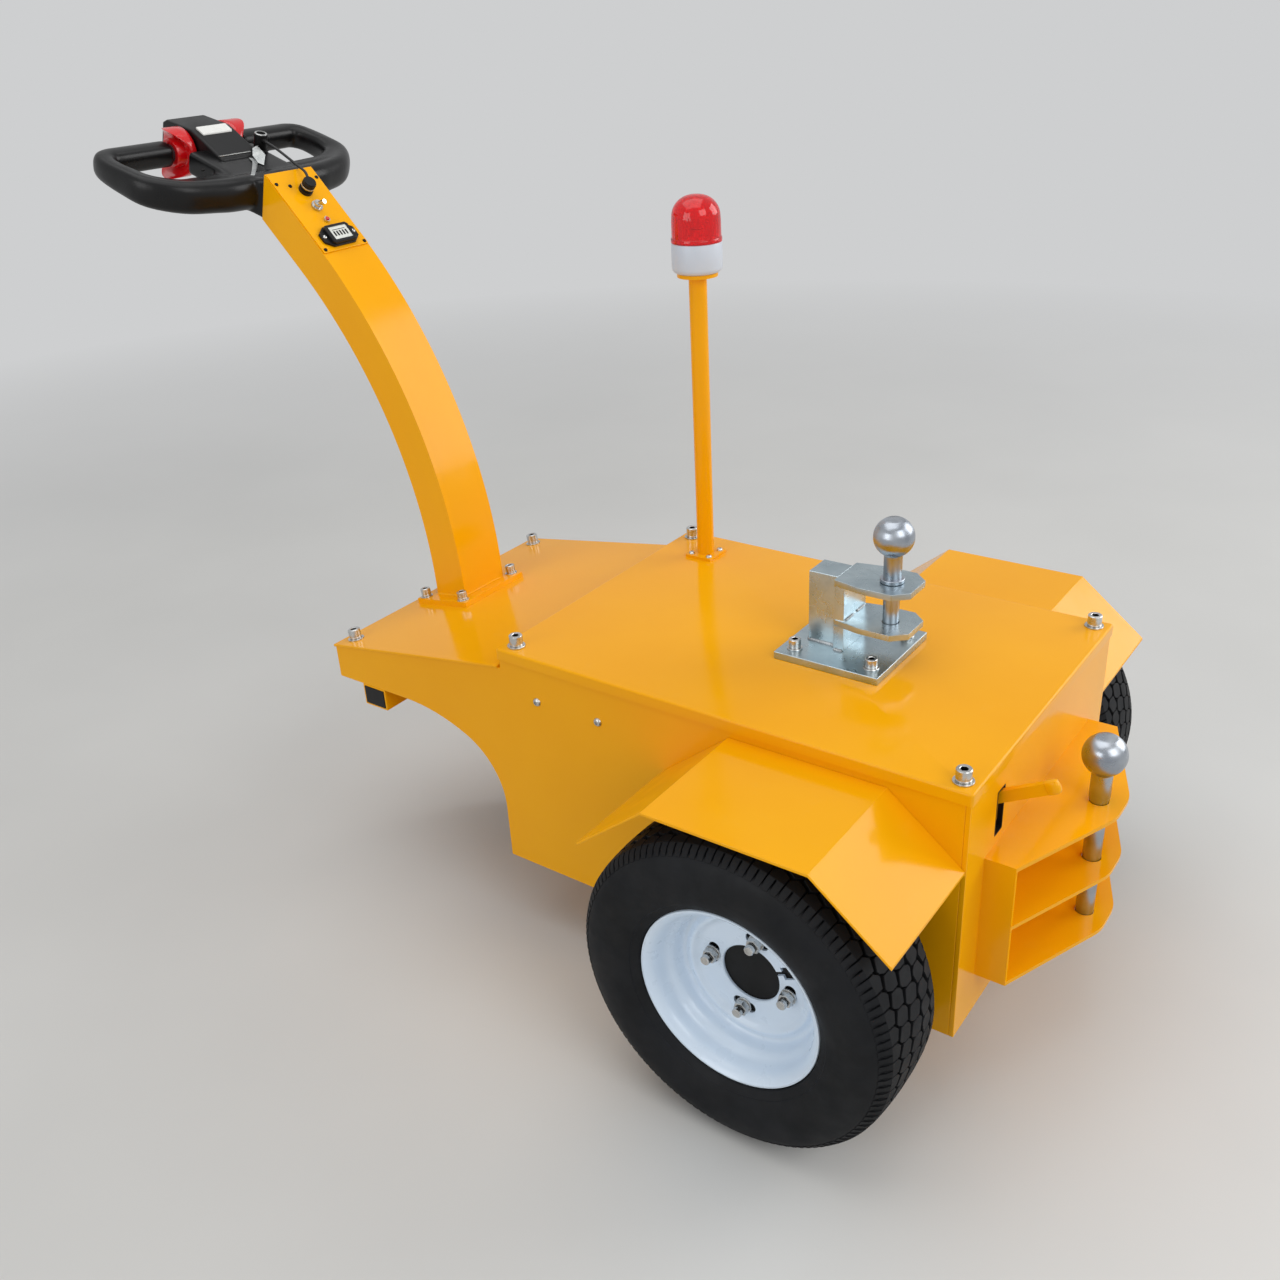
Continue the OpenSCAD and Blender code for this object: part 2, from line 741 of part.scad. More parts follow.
// Half of the lens in section, inset by the lens's wall for its inner face
module lens_section(inset) {
    r = beacon_r - 1.5;
    dome = 26;
    intersection() {
        union() {
            square([r - inset, beacon_lens_h - dome]);
            translate([0, beacon_lens_h - dome]) scale([r / dome, 1]) circle(dome - inset);
        }
        square([r - inset, beacon_lens_h]);
    }
}

module beacon_lens() {
    wall = 3;
    color(red) placed() translate([pole_x, pole_y, beacon_z + beacon_base_h]) rotate_extrude()
        difference() {
            lens_section(0);
            translate([0, -near]) lens_section(wall);
        }
}

top_z = cover_z + top_plate_t;
top_jaw_z = cover_z + top_jaw_h;
low_jaw_z = top_jaw_z - 2 * jaw_t - top_jaw_gap;
post_x = top_pin_x - post_back;
top_plate_x = post_x + 30;
jaw_x = post_x + post_w / 2;

module top_hitch_base() {
    color(steel) placed() {
        translate([top_plate_x - top_plate_w / 2, -top_plate_w / 2, cover_z])
            cube([top_plate_w, top_plate_w, top_plate_t]);
        translate([post_x - post_w / 2, -post_w / 2, top_z])
            cube([post_w, post_w, top_jaw_z - top_z]);
    }
}

module jaw_plate() {
    corner = 18;
    flare = 36;
    half = jaw_w / 2;
    tip = jaw_tip_w / 2;
    root = jaw_back_w / 2;
    polygon([[jaw_x, -root], [jaw_x + flare, -half], [jaw_x + jaw_l - corner, -half],
             [jaw_x + jaw_l, -tip], [jaw_x + jaw_l, tip], [jaw_x + jaw_l - corner, half],
             [jaw_x + flare, half], [jaw_x, root]]);
}

module top_hitch_jaw() {
    color(steel) placed() difference() {
        union() {
            for (z = [top_jaw_z - jaw_t, low_jaw_z])
                translate([0, 0, z]) linear_extrude(jaw_t) jaw_plate();
            translate([jaw_x, -jaw_back_w / 2, top_z])
                cube([jaw_back_t, jaw_back_w, top_jaw_z - top_z]);
        }
        translate([top_pin_x, 0, low_jaw_z - 1])
            cylinder(r = top_rod_r + pin_gap, h = 2 * jaw_t + top_jaw_gap + 2);
    }
}

// A ball-headed drop pin: rod from z_low, resting on a collar at z_rest, with a small flat on top
module drop_pin(rod_r, ball_r, z_low, z_rest, rest_r, neck_h) {
    neck_r = rod_r * 1.12;
    rest_t = 5;
    ball_z = z_rest + neck_h + ball_r * 0.9;
    translate([0, 0, z_low]) cylinder(r = rod_r, h = z_rest - z_low + rest_t / 2);
    translate([0, 0, z_rest + clear]) cylinder(r = rest_r, h = rest_t);
    translate([0, 0, z_rest + rest_t / 2]) cylinder(r = neck_r, h = neck_h);
    intersection() {
        translate([0, 0, ball_z]) sphere(ball_r);
        translate([0, 0, ball_z - ball_r]) cylinder(r = ball_r, h = ball_r * 1.9);
    }
}

module top_pin() {
    color(steel) placed() translate([top_pin_x, 0, 0])
        drop_pin(top_rod_r, top_ball_r, low_jaw_z + 1, top_jaw_z, 15, 36);
}

hitch_x = body_x1;
hitch_low = end_hitch_z - (end_n - 1) * end_step - end_plate_t;

// Points of an arc that rounds a corner: centre, radius, first and last angle
function arc_points(c, r, a, b, n = 4) =
    [for (i = [0:n]) let (t = a + (b - a) * i / n) c + r * [cos(t), sin(t)]];

module end_hitch_outline() {
    tip_r = 60;
    turn = atan2(end_l - end_wall_l, end_half_w - tip_half_w);
    mid = [end_l - tip_r, tip_half_w - tip_r * tan(turn / 2)];
    half = concat(arc_points(mid, tip_r, 0, turn), [[end_wall_l, end_half_w], [0, end_half_w]]);
    polygon(concat(half, [for (i = [len(half) - 1:-1:0]) [half[i][0], -half[i][1]]]));
}

module end_hitch() {
    color(paint) placed() translate([hitch_x, 0, 0]) difference() {
        union() {
            for (i = [0:end_n - 1])
                translate([0, 0, end_hitch_z - i * end_step - end_plate_t])
                    linear_extrude(end_plate_t) end_hitch_outline();
            for (side = [-1, 1])
                translate([0, side * (end_half_w - end_plate_t / 2) - end_plate_t / 2, hitch_low])
                    cube([end_wall_l, end_plate_t, end_hitch_z - hitch_low]);
        }
        translate([end_pin_x, 0, hitch_low - 1])
            cylinder(r = end_rod_r + pin_gap, h = end_hitch_z - hitch_low + 2);
    }
}

module end_pin() {
    color(steel) placed() translate([hitch_x + end_pin_x, 0, 0])
        drop_pin(end_rod_r, end_ball_r, hitch_low - 6, end_hitch_z, end_rod_r * 1.12, 40);
}

// A flat bar through the slot, on a pivot between two lugs behind the end plate
module release_lever() {
    lever_t = 8;
    lever_h = 14;
    lever_l = 70;
    tail_l = 34;
    pivot_r = 5;
    pivot_in = tail_l - 8;
    pivot = [-pivot_in * cos(lever_tilt), -pivot_in * sin(lever_tilt)];
    lug_t = 4;
    lug_l = 42;
    lug_h = 56;
    lug_low = 40;
    color(paint) placed() translate([body_x1, lever_y, lever_z]) {
        rotate([0, -lever_tilt, 0])
            translate([-tail_l, -lever_t / 2, -lever_h / 2]) cube([tail_l + lever_l, lever_t, lever_h]);
        translate([pivot[0], 0, pivot[1]]) rotate([90, 0, 0])
            cylinder(r = pivot_r, h = lever_t + 3 * lug_t, center = true);
        for (side = [-1, 1])
            translate([0, side * (lever_t / 2 + lug_t), 0]) difference() {
                translate([-end_t - lug_l, -lug_t / 2, -lug_low]) cube([lug_l - near, lug_t, lug_h]);
                translate([pivot[0], 0, pivot[1]]) rotate([90, 0, 0])
                    cylinder(r = pivot_r + near, h = 2 * lug_t, center = true);
            }
    }
}

axle_tube_y = side_y + axle_tube_out;

module axle_tube() {
    color(black) placed() translate([axle_x, 0, axle_z]) rotate([90, 0, 0]) difference() {
        cylinder(r = axle_tube_r, h = 2 * axle_tube_y, center = true);
        cylinder(r = shaft_r + 0.05, h = 2 * axle_tube_y + 2, center = true);
    }
}

module battery_block() {
    battery_x = 40;
    w = inner_w - 2 * battery_gap;
    color(black) placed() translate([battery_x, -w / 2, skirt_z + pan_t]) cube([battery_l, w, battery_h]);
}

// Half of the tyre's section as [radius, distance from the centre plane], bead to crown outside
// and back inside
module tyre_section() {
    h = tyre_w / 2;
    tread = h - 16;
    seat = rim_w / 2 - rim_t;
    sidewall_r = (tyre_r + bead_r) / 2;
    outer = [[bead_r, seat], [flange_r, seat], [flange_r + 2, seat + 4], [sidewall_r, h],
             [tyre_r - 14, h - 4], [tyre_r - 4, tread], [tyre_r, tread / 2]];
    inner = [[tyre_r - tyre_wall, tread / 2], [tyre_r - 16, tread], [sidewall_r, h - tyre_wall],
             [bead_r + 12, seat - 10], [bead_r, seat - 12]];
    polygon(concat(outer, [for (i = [len(outer) - 1:-1:0]) [outer[i][0], -outer[i][1]]],
                   [for (i = [len(inner) - 1:-1:0]) [inner[i][0], -inner[i][1]]], inner));
}

// Wheel frame: z runs outwards from the tyre's centre plane
module wheel_at(side) translate([axle_x, side * track_y, axle_z]) rotate([-side * 90, 0, 0]) children();

module tyre(side) {
    color(black) placed() wheel_at(side) rotate_extrude($fn = 96) tyre_section();
}

// Rim section, x is the radius and y the distance outwards from the tyre's centre plane: two
// flanges, two bead seats, a drop well between them and the disc
module rim_section() {
    h = rim_w / 2;
    seat = bead_r - near;
    seat_w = 26;
    well = bead_r - 14;
    well_w = 34;
    back = seat - rim_t;
    polygon([[flange_r, -h], [flange_r, -h + rim_t], [seat, -h + rim_t], [seat, -h + seat_w],
             [well, -h + well_w], [well, h - well_w], [seat, h - seat_w], [seat, h - rim_t],
             [flange_r, h - rim_t], [flange_r, h], [back, h], [back, h - seat_w - 1],
             [well - rim_t, h - well_w - 2], [well - rim_t, -h + well_w + 2],
             [back, -h + seat_w + 1], [back, -h]]);
    translate([disc_hole_r, 0]) square([well - disc_hole_r - 1, rim_t + 0.5]);
}

// Children at each wheel stud
module at_studs() {
    stud_turn = -10;
    for (i = [0:stud_n - 1])
        rotate(360 / stud_n * i + stud_turn) translate([stud_pcd / 2, 0, 0]) children();
}

module rim(side) {
    color([0.9, 0.92, 0.94]) placed() wheel_at(side) difference() {
        rotate_extrude($fn = 96) rim_section();
        at_studs() translate([0, 0, -rim_t]) cylinder(r = stud_r + 0.05, h = 3 * rim_t);
    }
}

// The hub's flange with its studs, its boss up to the axle tube and the shaft inside the tube
module hub(side) {
    boss_l = track_y - axle_tube_y - 6;
    boss_r = axle_tube_r - 2;
    shaft_in = 150;
    shaft_l = track_y - shaft_in;
    stud_l = 30;
    color(black) placed() wheel_at(side) {
        translate([0, 0, -hub_t]) cylinder(r = hub_r, h = hub_t - near);
        at_studs() translate([0, 0, -hub_t]) cylinder(r = stud_r, h = stud_l);
        translate([0, 0, -boss_l]) cylinder(r = boss_r, h = boss_l - near);
        translate([0, 0, -shaft_l]) cylinder(r = shaft_r, h = shaft_l - near);
    }
}

mount_w = caster_plate_l + 10;
mount_l = caster_plate_l + 20;
swivel_x = -caster_x;
swivel_r = 9;
plate_t = 6;
race_h = 12;
fork_top = caster_top - plate_t - race_h - 1;

module caster_mount() {
    t = 6;
    color(paint) placed() difference() {
        wall_xz(mount_w) intersection() {
            translate([swivel_x - mount_l / 2, caster_top]) square([mount_l, 100]);
            arch_cut();
        }
        wall_xz(mount_w - 2 * t) translate([swivel_x - mount_l / 2 + t, caster_top + t])
            square([mount_l - 2 * t, 100]);
    }
}

// The fixed top plate with its race and the king pin
module caster_plate() {
    race_r = 38;
    pin_l = 30;
    color(steel) placed() translate([swivel_x, 0, caster_top]) {
        translate([-caster_plate_l / 2, -caster_plate_l / 2, -plate_t])
            cube([caster_plate_l, caster_plate_l, plate_t]);
        translate([0, 0, -plate_t - race_h]) cylinder(r = race_r, h = race_h + 1);
        translate([0, 0, -pin_l]) cylinder(r = swivel_r, h = pin_l - plate_t + 1);
    }
}

module caster_fork() {
    t = 5;
    w = caster_w + 12;
    front = -36;
    back = 64;
    foot = 16;
    race_r = 40;
    race_t = 10;
    crown_t = 6;
    color(steel) placed() translate([swivel_x, 0, 0]) difference() {
        union() {
            translate([0, 0, fork_top - race_t]) cylinder(r = race_r, h = race_t);
            translate([front, -w / 2 - t, fork_top - race_t - 4])
                cube([back - front, w + 2 * t, crown_t]);
            for (side = [-1, 1])
                wall_xz(t, side * (w + t) / 2)
                    polygon([[front, fork_top - 8], [back, fork_top - 8],
                             [caster_trail + foot, caster_r - foot],
                             [caster_trail - foot, caster_r - foot]]);
        }
        translate([0, 0, fork_top - 2 * race_t]) cylinder(r = swivel_r + 0.05, h = 3 * race_t);
        translate([caster_trail, 0, caster_r]) rotate([90, 0, 0])
            cylinder(r = caster_axle_r + 0.05, h = 2 * w, center = true);
    }
}

caster_axle_r = 6;

module caster_wheel() {
    color(black) placed() translate([swivel_x + caster_trail, 0, caster_r]) rotate([90, 0, 0]) {
        cylinder(r = caster_r, h = caster_w, center = true);
        cylinder(r = caster_axle_r, h = caster_w + 30, center = true);
    }
}

side_plate(-1);  // side_plate_left
side_plate(1);  // side_plate_right
end_plate();
nose_plate();
arch_plate();
floor_pan();
front_deck();
top_cover();
fender(-1);  // fender_left
fender(1);  // fender_right
cross_tube();
cross_tube_plugs();
arm();
arm_panel();
battery_gauge();
panel_controls();
cable_plug();
handle_loop();
grip_bar();
grips();
head_box();
throttles();
head_button();
key_switch();
key_cable();
beacon_pole();
beacon_base();
beacon_lens();
top_hitch_base();
top_hitch_jaw();
top_pin();
end_hitch();
end_pin();
release_lever();
axle_tube();
battery_block();
tyre(-1);  // tyre_left
rim(-1);  // rim_left
hub(-1);  // hub_left
tyre(1);  // tyre_right
rim(1);  // rim_right
hub(1);  // hub_right
caster_mount();
caster_plate();
caster_fork();
caster_wheel();
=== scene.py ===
import json
import math

import bmesh
import bpy
from mathutils import Matrix, Vector


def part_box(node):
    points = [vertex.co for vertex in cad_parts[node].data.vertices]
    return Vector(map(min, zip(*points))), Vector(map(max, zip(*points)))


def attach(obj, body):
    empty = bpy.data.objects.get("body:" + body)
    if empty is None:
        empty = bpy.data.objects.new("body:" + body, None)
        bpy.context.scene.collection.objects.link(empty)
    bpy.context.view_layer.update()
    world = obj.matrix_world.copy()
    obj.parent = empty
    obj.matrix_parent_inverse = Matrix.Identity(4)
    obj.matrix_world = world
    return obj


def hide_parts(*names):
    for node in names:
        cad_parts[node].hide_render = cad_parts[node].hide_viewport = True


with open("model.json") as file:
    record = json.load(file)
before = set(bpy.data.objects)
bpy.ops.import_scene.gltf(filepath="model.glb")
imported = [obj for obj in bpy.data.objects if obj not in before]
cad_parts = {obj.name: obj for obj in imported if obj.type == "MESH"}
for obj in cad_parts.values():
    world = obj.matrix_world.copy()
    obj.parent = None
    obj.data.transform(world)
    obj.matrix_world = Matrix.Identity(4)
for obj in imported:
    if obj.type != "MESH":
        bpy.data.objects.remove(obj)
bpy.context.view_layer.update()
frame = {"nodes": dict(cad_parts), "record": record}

TAU = 2 * math.pi
MM = 0.001
X0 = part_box("top_cover")[0].x


# Places in millimetres, from the cover's handle-side end, the middle plane and the floor

def millimetres(p):
    return (round((p[0] - X0) / MM, 3), round(p[1] / MM, 3), round(p[2] / MM, 3))


def corners(node):
    """A CAD node's lowest and highest corners."""
    return [millimetres(p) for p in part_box(node)]


def middle(node):
    low, high = corners(node)
    return [(a + b) / 2 for a, b in zip(low, high)]


def joint_place(name):
    joints = frame["record"]["behaviour"]["joints"]
    return millimetres(next(joint["pos_m"] for joint in joints if joint["name"] == name))


COVER_L, COVER_HALF_W, COVER_Z = corners("top_cover")[1]
SIDE_Y = corners("side_plate_right")[1][1]
END_X = corners("end_plate")[1][0]
FENDER_LOW, FENDER_HIGH = corners("fender_right")
JAW_LOW, JAW_HIGH = corners("top_hitch_jaw")
HITCH_PLATE_T = 10
LEVER_Y = middle("release_lever")[1]
LEVER_Z = 392
LEVER_TILT = math.radians(29)

# The front deck falls towards the handle
DECK_Z = COVER_Z - 26
SLOPE = math.radians(9.1)

# The arm: an arc from its foot on the deck, then a straight end that carries the handle
ARM_X = 231
ARM_DEPTH = 59
ARM_R = 768
ARM_LOW = 10
ARM_STRAIGHT = 122
LEAN = math.radians(44)
HEAD_DROP = 35.5
TILT = math.radians(19)
BAR_U = 186
PANEL_T = 2


# Frames, in millimetres

def axes(origin, x, y, z):
    """A frame from its origin and its axes, which are unit vectors."""
    m = Matrix.Identity(4)
    for column, axis in enumerate((x, y, z)):
        for row in range(3):
            m[row][column] = axis[row] * MM
    m[0][3] = X0 + origin[0] * MM
    m[1][3] = origin[1] * MM
    m[2][3] = origin[2] * MM
    return m


def leaning(origin, angle):
    """A frame with y across, whose x rises by an angle towards the end hitch."""
    c, s = math.cos(angle), math.sin(angle)
    return axes(origin, (c, 0, s), (0, 1, 0), (-s, 0, c))


def turned(at, degrees, axis="Z"):
    return at @ Matrix.Rotation(math.radians(degrees), 4, axis)


def stand(at, origin, axis=(0, 0, 1), turn=0.0):
    """A frame placed in another one, with its z along axis."""
    aimed = Vector(axis).to_track_quat("Z", "Y").to_matrix().to_4x4()
    return turned(at @ Matrix.Translation(Vector(origin)) @ aimed, turn)


def deck_z(x):
    return DECK_Z + x * math.tan(SLOPE)


def deck(x):
    """A frame on the front deck at a distance from the cover's end."""
    return leaning((x, 0, deck_z(x)), SLOPE)


def wheel_frame(tag, side):
    """z outwards from the tyre's centre plane."""
    return axes(joint_place("wheel_" + tag + "_spin"), (1, 0, 0), (0, 0, -side), (0, side, 0))


BODY = leaning((0, 0, 0), 0)
ARC_X, ARC_Z = -ARM_X - ARM_R, deck_z(-ARM_X) - ARM_LOW
TIP_X = ARC_X + ARM_R * math.cos(LEAN) - ARM_STRAIGHT * math.sin(LEAN)
TIP_Z = ARC_Z + ARM_R * math.sin(LEAN) + ARM_STRAIGHT * math.cos(LEAN)
# The middle of the arm's foot plate, whose top is FOOT_T above the deck
FOOT = deck(-ARM_X - ARM_DEPTH / 2)
FOOT_T = 8
# x down the arm's outer face from its upper end, y across, z out of the face
ARM = leaning((TIP_X, 0, TIP_Z), LEAN - TAU / 4)
# x away from the arm, y across, z up out of the handle's loop
HEAD = axes((TIP_X - HEAD_DROP * math.sin(TILT), 0, TIP_Z - HEAD_DROP * math.cos(TILT)),
            (-math.cos(TILT), 0, math.sin(TILT)), (0, 1, 0), (math.sin(TILT), 0, math.cos(TILT)))


# Camera, fitted to the photograph

LENS_MM = 36.057
# Degrees
AZIMUTH, ELEVATION, ROLL = 37.0, 27.13, -3.29
# Metres from the cover's handle-side end, the middle plane and the floor
EYE = (1.0534, -1.3112, 1.2136)


def add(name, data):
    o = bpy.data.objects.new(name, data)
    bpy.context.scene.collection.objects.link(o)
    return o


def set_camera():
    cam = bpy.data.cameras.new("view")
    cam.sensor_width = 36
    cam.lens = LENS_MM
    cam.clip_start = 0.05
    cam.clip_end = 60
    o = add("view", cam)
    at = turned(Matrix.Translation((X0 + EYE[0], EYE[1], EYE[2])), AZIMUTH)
    o.matrix_world = turned(turned(at, 90 - ELEVATION, "X"), ROLL)
    bpy.context.scene.camera = o


# Materials

def linear(color):
    """A shader's colour from one written in sRGB, with values from 0 to 255."""
    shares = [c / 255 for c in color]
    return [c / 12.92 if c <= 0.04045 else ((c + 0.055) / 1.055) ** 2.4 for c in shares] + [1.0]


class Nodes:
    """A node tree under construction."""

    def __init__(self, tree):
        self.tree = tree

    def feed(self, node, inputs):
        """Sets inputs of a node by name or number, to values, sRGB colours or outputs of other nodes."""
        for key, value in inputs.items():
            socket = node.inputs[key]
            if isinstance(value, bpy.types.NodeSocket):
                self.tree.links.new(value, socket)
            else:
                socket.default_value = linear(value) if socket.type == "RGBA" else value

    def node(self, kind, inputs, **settings):
        """Adds a node and gives back its outputs."""
        n = self.tree.nodes.new("ShaderNode" + kind)
        for key, value in settings.items():
            setattr(n, key, value)
        self.feed(n, inputs)
        return n.outputs


class Look(Nodes):
    """A procedural material under construction."""

    def __init__(self, name, rough=0.5, metal=0.0, ior=1.5, specular=0.5, coat=0.0, coat_rough=0.05):
        self.material = bpy.data.materials.new(name)
        self.material.use_nodes = True
        super().__init__(self.material.node_tree)
        self.set({"Roughness": rough, "Metallic": metal, "IOR": ior, "Specular IOR Level": specular,
                  "Coat Weight": coat, "Coat Roughness": coat_rough})
        self.place = self.node("TexCoord", {})["Object"]
        self.normal = {}

    def set(self, inputs):
        self.feed(self.tree.nodes["Principled BSDF"], inputs)

    def noise(self, scale, detail, stretch=(1, 1, 1), grit=0.5):
        place = self.node("Mapping", {"Scale": stretch, "Vector": self.place})[0]
        return self.node("TexNoise", {"Scale": scale, "Detail": detail, "Roughness": grit,
                                      "Vector": place})["Fac"]

    def clouds(self, scale, detail, low=0.3, high=0.7, to_low=0.0, to_high=1.0, grit=0.5):
        """Noise whose values between low and high are spread from to_low to to_high."""
        return self.span(self.noise(scale, detail, grit=grit), low, high, to_low, to_high)

    def cells(self, scale):
        return self.node("TexVoronoi", {"Scale": scale, "Vector": self.place})["Distance"]

    def span(self, value, low, high, to_low=0.0, to_high=1.0):
        return self.node("MapRange", {"Value": value, "From Min": low, "From Max": high, "To Min": to_low,
                                      "To Max": to_high}, clamp=True)[0]

    def times(self, a, b):
        return self.node("Math", {0: a, 1: b}, operation="MULTIPLY")[0]

    def blend(self, share, a, b):
        return self.node("Mix", {0: share, 6: a, 7: b}, data_type="RGBA")[2]

    def edges(self, radius, wide=0.25):
        """1 along convex and concave edges, 0 on flat faces."""
        rounded_normal = self.node("Bevel", {"Radius": radius}, samples=4)[0]
        normal = self.node("NewGeometry", {})["Normal"]
        alike = self.node("VectorMath", {0: rounded_normal, 1: normal}, operation="DOT_PRODUCT")["Value"]
        return self.span(alike, 1.0 - wide, 0.995, 1.0, 0.0)

    def upward(self):
        """1 on faces that look up, 0 on walls."""
        normal = self.node("NewGeometry", {})["Normal"]
        return self.span(self.node("SeparateXYZ", {0: normal})["Z"], 0.3, 0.95)

    def color(self, value):
        self.set({"Base Color": value})

    def rough(self, value):
        self.set({"Roughness": value})

    def bump(self, height, depth, strength):
        """Adds relief to the relief so far."""
        relief = {"Strength": strength, "Distance": depth, "Height": height} | self.normal
        self.normal = {"Normal": self.node("Bump", relief)[0]}
        self.set(self.normal)


def paint_look(name, body, deep):
    """Gloss paint, uneven in tone, with a little dust on top and chips along its edges."""
    k = Look(name, ior=1.45, specular=0.22)
    base = k.blend(k.clouds(3.2, 4), deep, body)
    dust = k.times(k.upward(), k.clouds(26, 7, 0.58, 0.9, 0.0, 0.06, grit=0.75))
    base = k.blend(dust, base, (222, 190, 130))
    chips = k.times(k.edges(0.0012, 0.12), k.clouds(210, 5, 0.56, 0.7, grit=0.7))
    k.color(k.blend(k.times(chips, 0.45), base, (206, 140, 40)))
    k.rough(k.clouds(30, 5, 0.3, 0.75, 0.1, 0.2))
    k.bump(k.noise(2.4, 2), 0.0004, 0.2)
    k.bump(k.noise(330, 2), 0.00003, 0.4)
    return k.material


def steel_look(name, bright, dark, rough, scale=18.0):
    """Zinc-coated or bare steel: clouded, spangled, faintly stained, and lightened along its edges as a
    painted highlight.
    """
    k = Look(name, metal=1.0)
    base = k.blend(k.clouds(scale, 5, 0.3, 0.72, grit=0.62), dark, bright)
    base = k.blend(k.span(k.cells(95), 0.0, 1.0, 0.0, 0.22), base, bright)
    base = k.blend(k.clouds(55, 6, 0.6, 0.8, 0.0, 0.16, grit=0.75), base, (120, 112, 98))
    # Painted highlight: the edges are blended towards near white.
    k.color(k.blend(k.times(k.edges(0.0012), 0.5), base, (232, 234, 236)))
    k.rough(k.clouds(scale * 2.4, 5, 0.3, 0.72, *rough))
    k.bump(k.noise(260, 4), 0.00004, 0.4)
    return k.material


def turned_look(name, bright, dark, rough):
    """Machined steel with fine rings round its axis, which draw its highlights out along it."""
    k = Look(name, metal=1.0)
    k.set({"Anisotropic": 0.65, "Tangent": k.node("Tangent", {}, direction_type="RADIAL", axis="Z")[0]})
    base = k.blend(k.clouds(30, 5), dark, bright)
    k.color(k.blend(k.clouds(90, 6, 0.62, 0.8, 0.0, 0.35, grit=0.75), base, (128, 120, 108)))
    k.rough(k.clouds(60, 4, 0.3, 0.7, *rough))
    k.bump(k.noise(60, 3, (1, 1, 22)), 0.00006, 0.45)
    return k.material


def plastic_look(name, body, alt, rough, grain=900.0, depth=0.00008, coat=0.0, worn=None, shine=0.5):
    """Moulded plastic, rubber or smooth paint with a fine grain, scuffed along its edges if worn."""
    k = Look(name, specular=shine, coat=coat, coat_rough=0.08)
    base = k.blend(k.clouds(9, 4), alt, body)
    if worn is not None:
        base = k.blend(k.times(k.edges(0.0014), k.clouds(120, 4, 0.4, 0.7, 0.1, 0.7)), base, worn)
    k.color(base)
    k.rough(k.clouds(26, 5, 0.3, 0.72, *rough, grit=0.65))
    k.bump(k.noise(grain, 2), depth, 0.5)
    return k.material


def tyre_look():
    k = Look("tyre_rubber", ior=1.45, specular=0.28)
    base = k.blend(k.clouds(11, 5, grit=0.6), (11, 12, 14), (20, 22, 26))
    k.color(k.blend(k.clouds(46, 6, 0.58, 0.88, 0.0, 0.12, grit=0.72), base, (62, 59, 54)))
    k.rough(k.clouds(30, 4, 0.3, 0.7, 0.55, 0.78))
    k.bump(k.noise(700, 3), 0.0001, 0.5)
    return k.material


def lens_look():
    k = Look("beacon_red", ior=1.49)
    k.color(k.blend(k.clouds(12, 3), (252, 26, 36), (255, 40, 50)))
    k.set({"Transmission Weight": 0.8})
    k.rough(k.clouds(40, 4, 0.3, 0.7, 0.03, 0.08))
    k.bump(k.noise(120, 2), 0.00004, 0.4)
    return k.material


def display_look():
    k = Look("gauge_display", rough=0.15, coat=0.6)
    k.color(k.blend(k.clouds(60, 3), (216, 219, 212), (228, 230, 224)))
    k.bump(k.noise(90, 2), 0.00002, 0.3)
    return k.material


PAINT = paint_look("body_paint", (248, 176, 8), (242, 166, 4))
ZINC = steel_look("zinc_steel", (190, 203, 208), (152, 167, 175), (0.22, 0.36))
WELD = steel_look("weld_steel", (176, 180, 182), (118, 120, 122), (0.3, 0.5), 60)
BOLT = steel_look("bolt_steel", (214, 214, 212), (168, 168, 166), (0.2, 0.34), 60)
KEY = steel_look("key_steel", (214, 216, 214), (176, 180, 180), (0.25, 0.4), 90)
BALL = turned_look("bright_steel", (188, 193, 199), (150, 157, 167), (0.24, 0.36))
CHROME = turned_look("bright_metal", (212, 212, 210), (186, 186, 184), (0.2, 0.3))
DARK = plastic_look("black_metal", (16, 15, 15), (9, 9, 9), (0.4, 0.6), worn=(60, 58, 56),
                    shine=0.22)
BLACK = plastic_look("black_plastic", (17, 17, 18), (11, 11, 12), (0.34, 0.48), 1400, 0.00005,
                     worn=(40, 40, 42), shine=0.3)
GRIP = plastic_look("grip_plastic", (15, 15, 16), (9, 9, 10), (0.26, 0.38), 1300, 0.00006, shine=0.3)
BAR = plastic_look("bar_rubber", (46, 48, 51), (36, 38, 41), (0.3, 0.4), 1100, 0.00004, shine=0.6)
CABLE = plastic_look("cable_rubber", (19, 19, 20), (13, 13, 14), (0.38, 0.5), 800, 0.00003)
RED = plastic_look("red_plastic", (214, 14, 22), (196, 8, 16), (0.14, 0.24), 600, 0.00001, coat=0.4)
WHITE = plastic_look("white_plastic", (234, 234, 230), (222, 222, 218), (0.24, 0.36), 900, 0.00002)
GREY = plastic_look("grey_plastic", (204, 212, 223), (190, 199, 212), (0.3, 0.42), 1200, 0.00003)
LAMP = plastic_look("lamp_reflector", (250, 236, 230), (240, 220, 214), (0.2, 0.3))
BATTERY = plastic_look("battery_case", (44, 46, 48), (34, 36, 38), (0.5, 0.66), 500, 0.0001)
CASTER = plastic_look("caster_rubber", (88, 90, 92), (74, 76, 78), (0.55, 0.72), 700, 0.0001)
RIM = plastic_look("rim_paint", (224, 238, 252), (214, 230, 247), (0.24, 0.36), 300, 0.00003,
                   coat=0.35, worn=(176, 180, 182))
TYRE = tyre_look()
LENS = lens_look()
DISPLAY = display_look()


# Outlines and paths

def star(reach, z):
    """Points about the frame's z, evenly spread, each at its own distance."""
    n = len(reach)
    return [(r * math.cos(TAU * i / n), r * math.sin(TAU * i / n), z) for i, r in enumerate(reach)]


def around(r, z, seg):
    """Points on a circle about the frame's z."""
    return star([r] * seg, z)


def hexagon(r, turn=0.0):
    return [(r * math.cos(TAU * i / 6 + turn), r * math.sin(TAU * i / 6 + turn)) for i in range(6)]


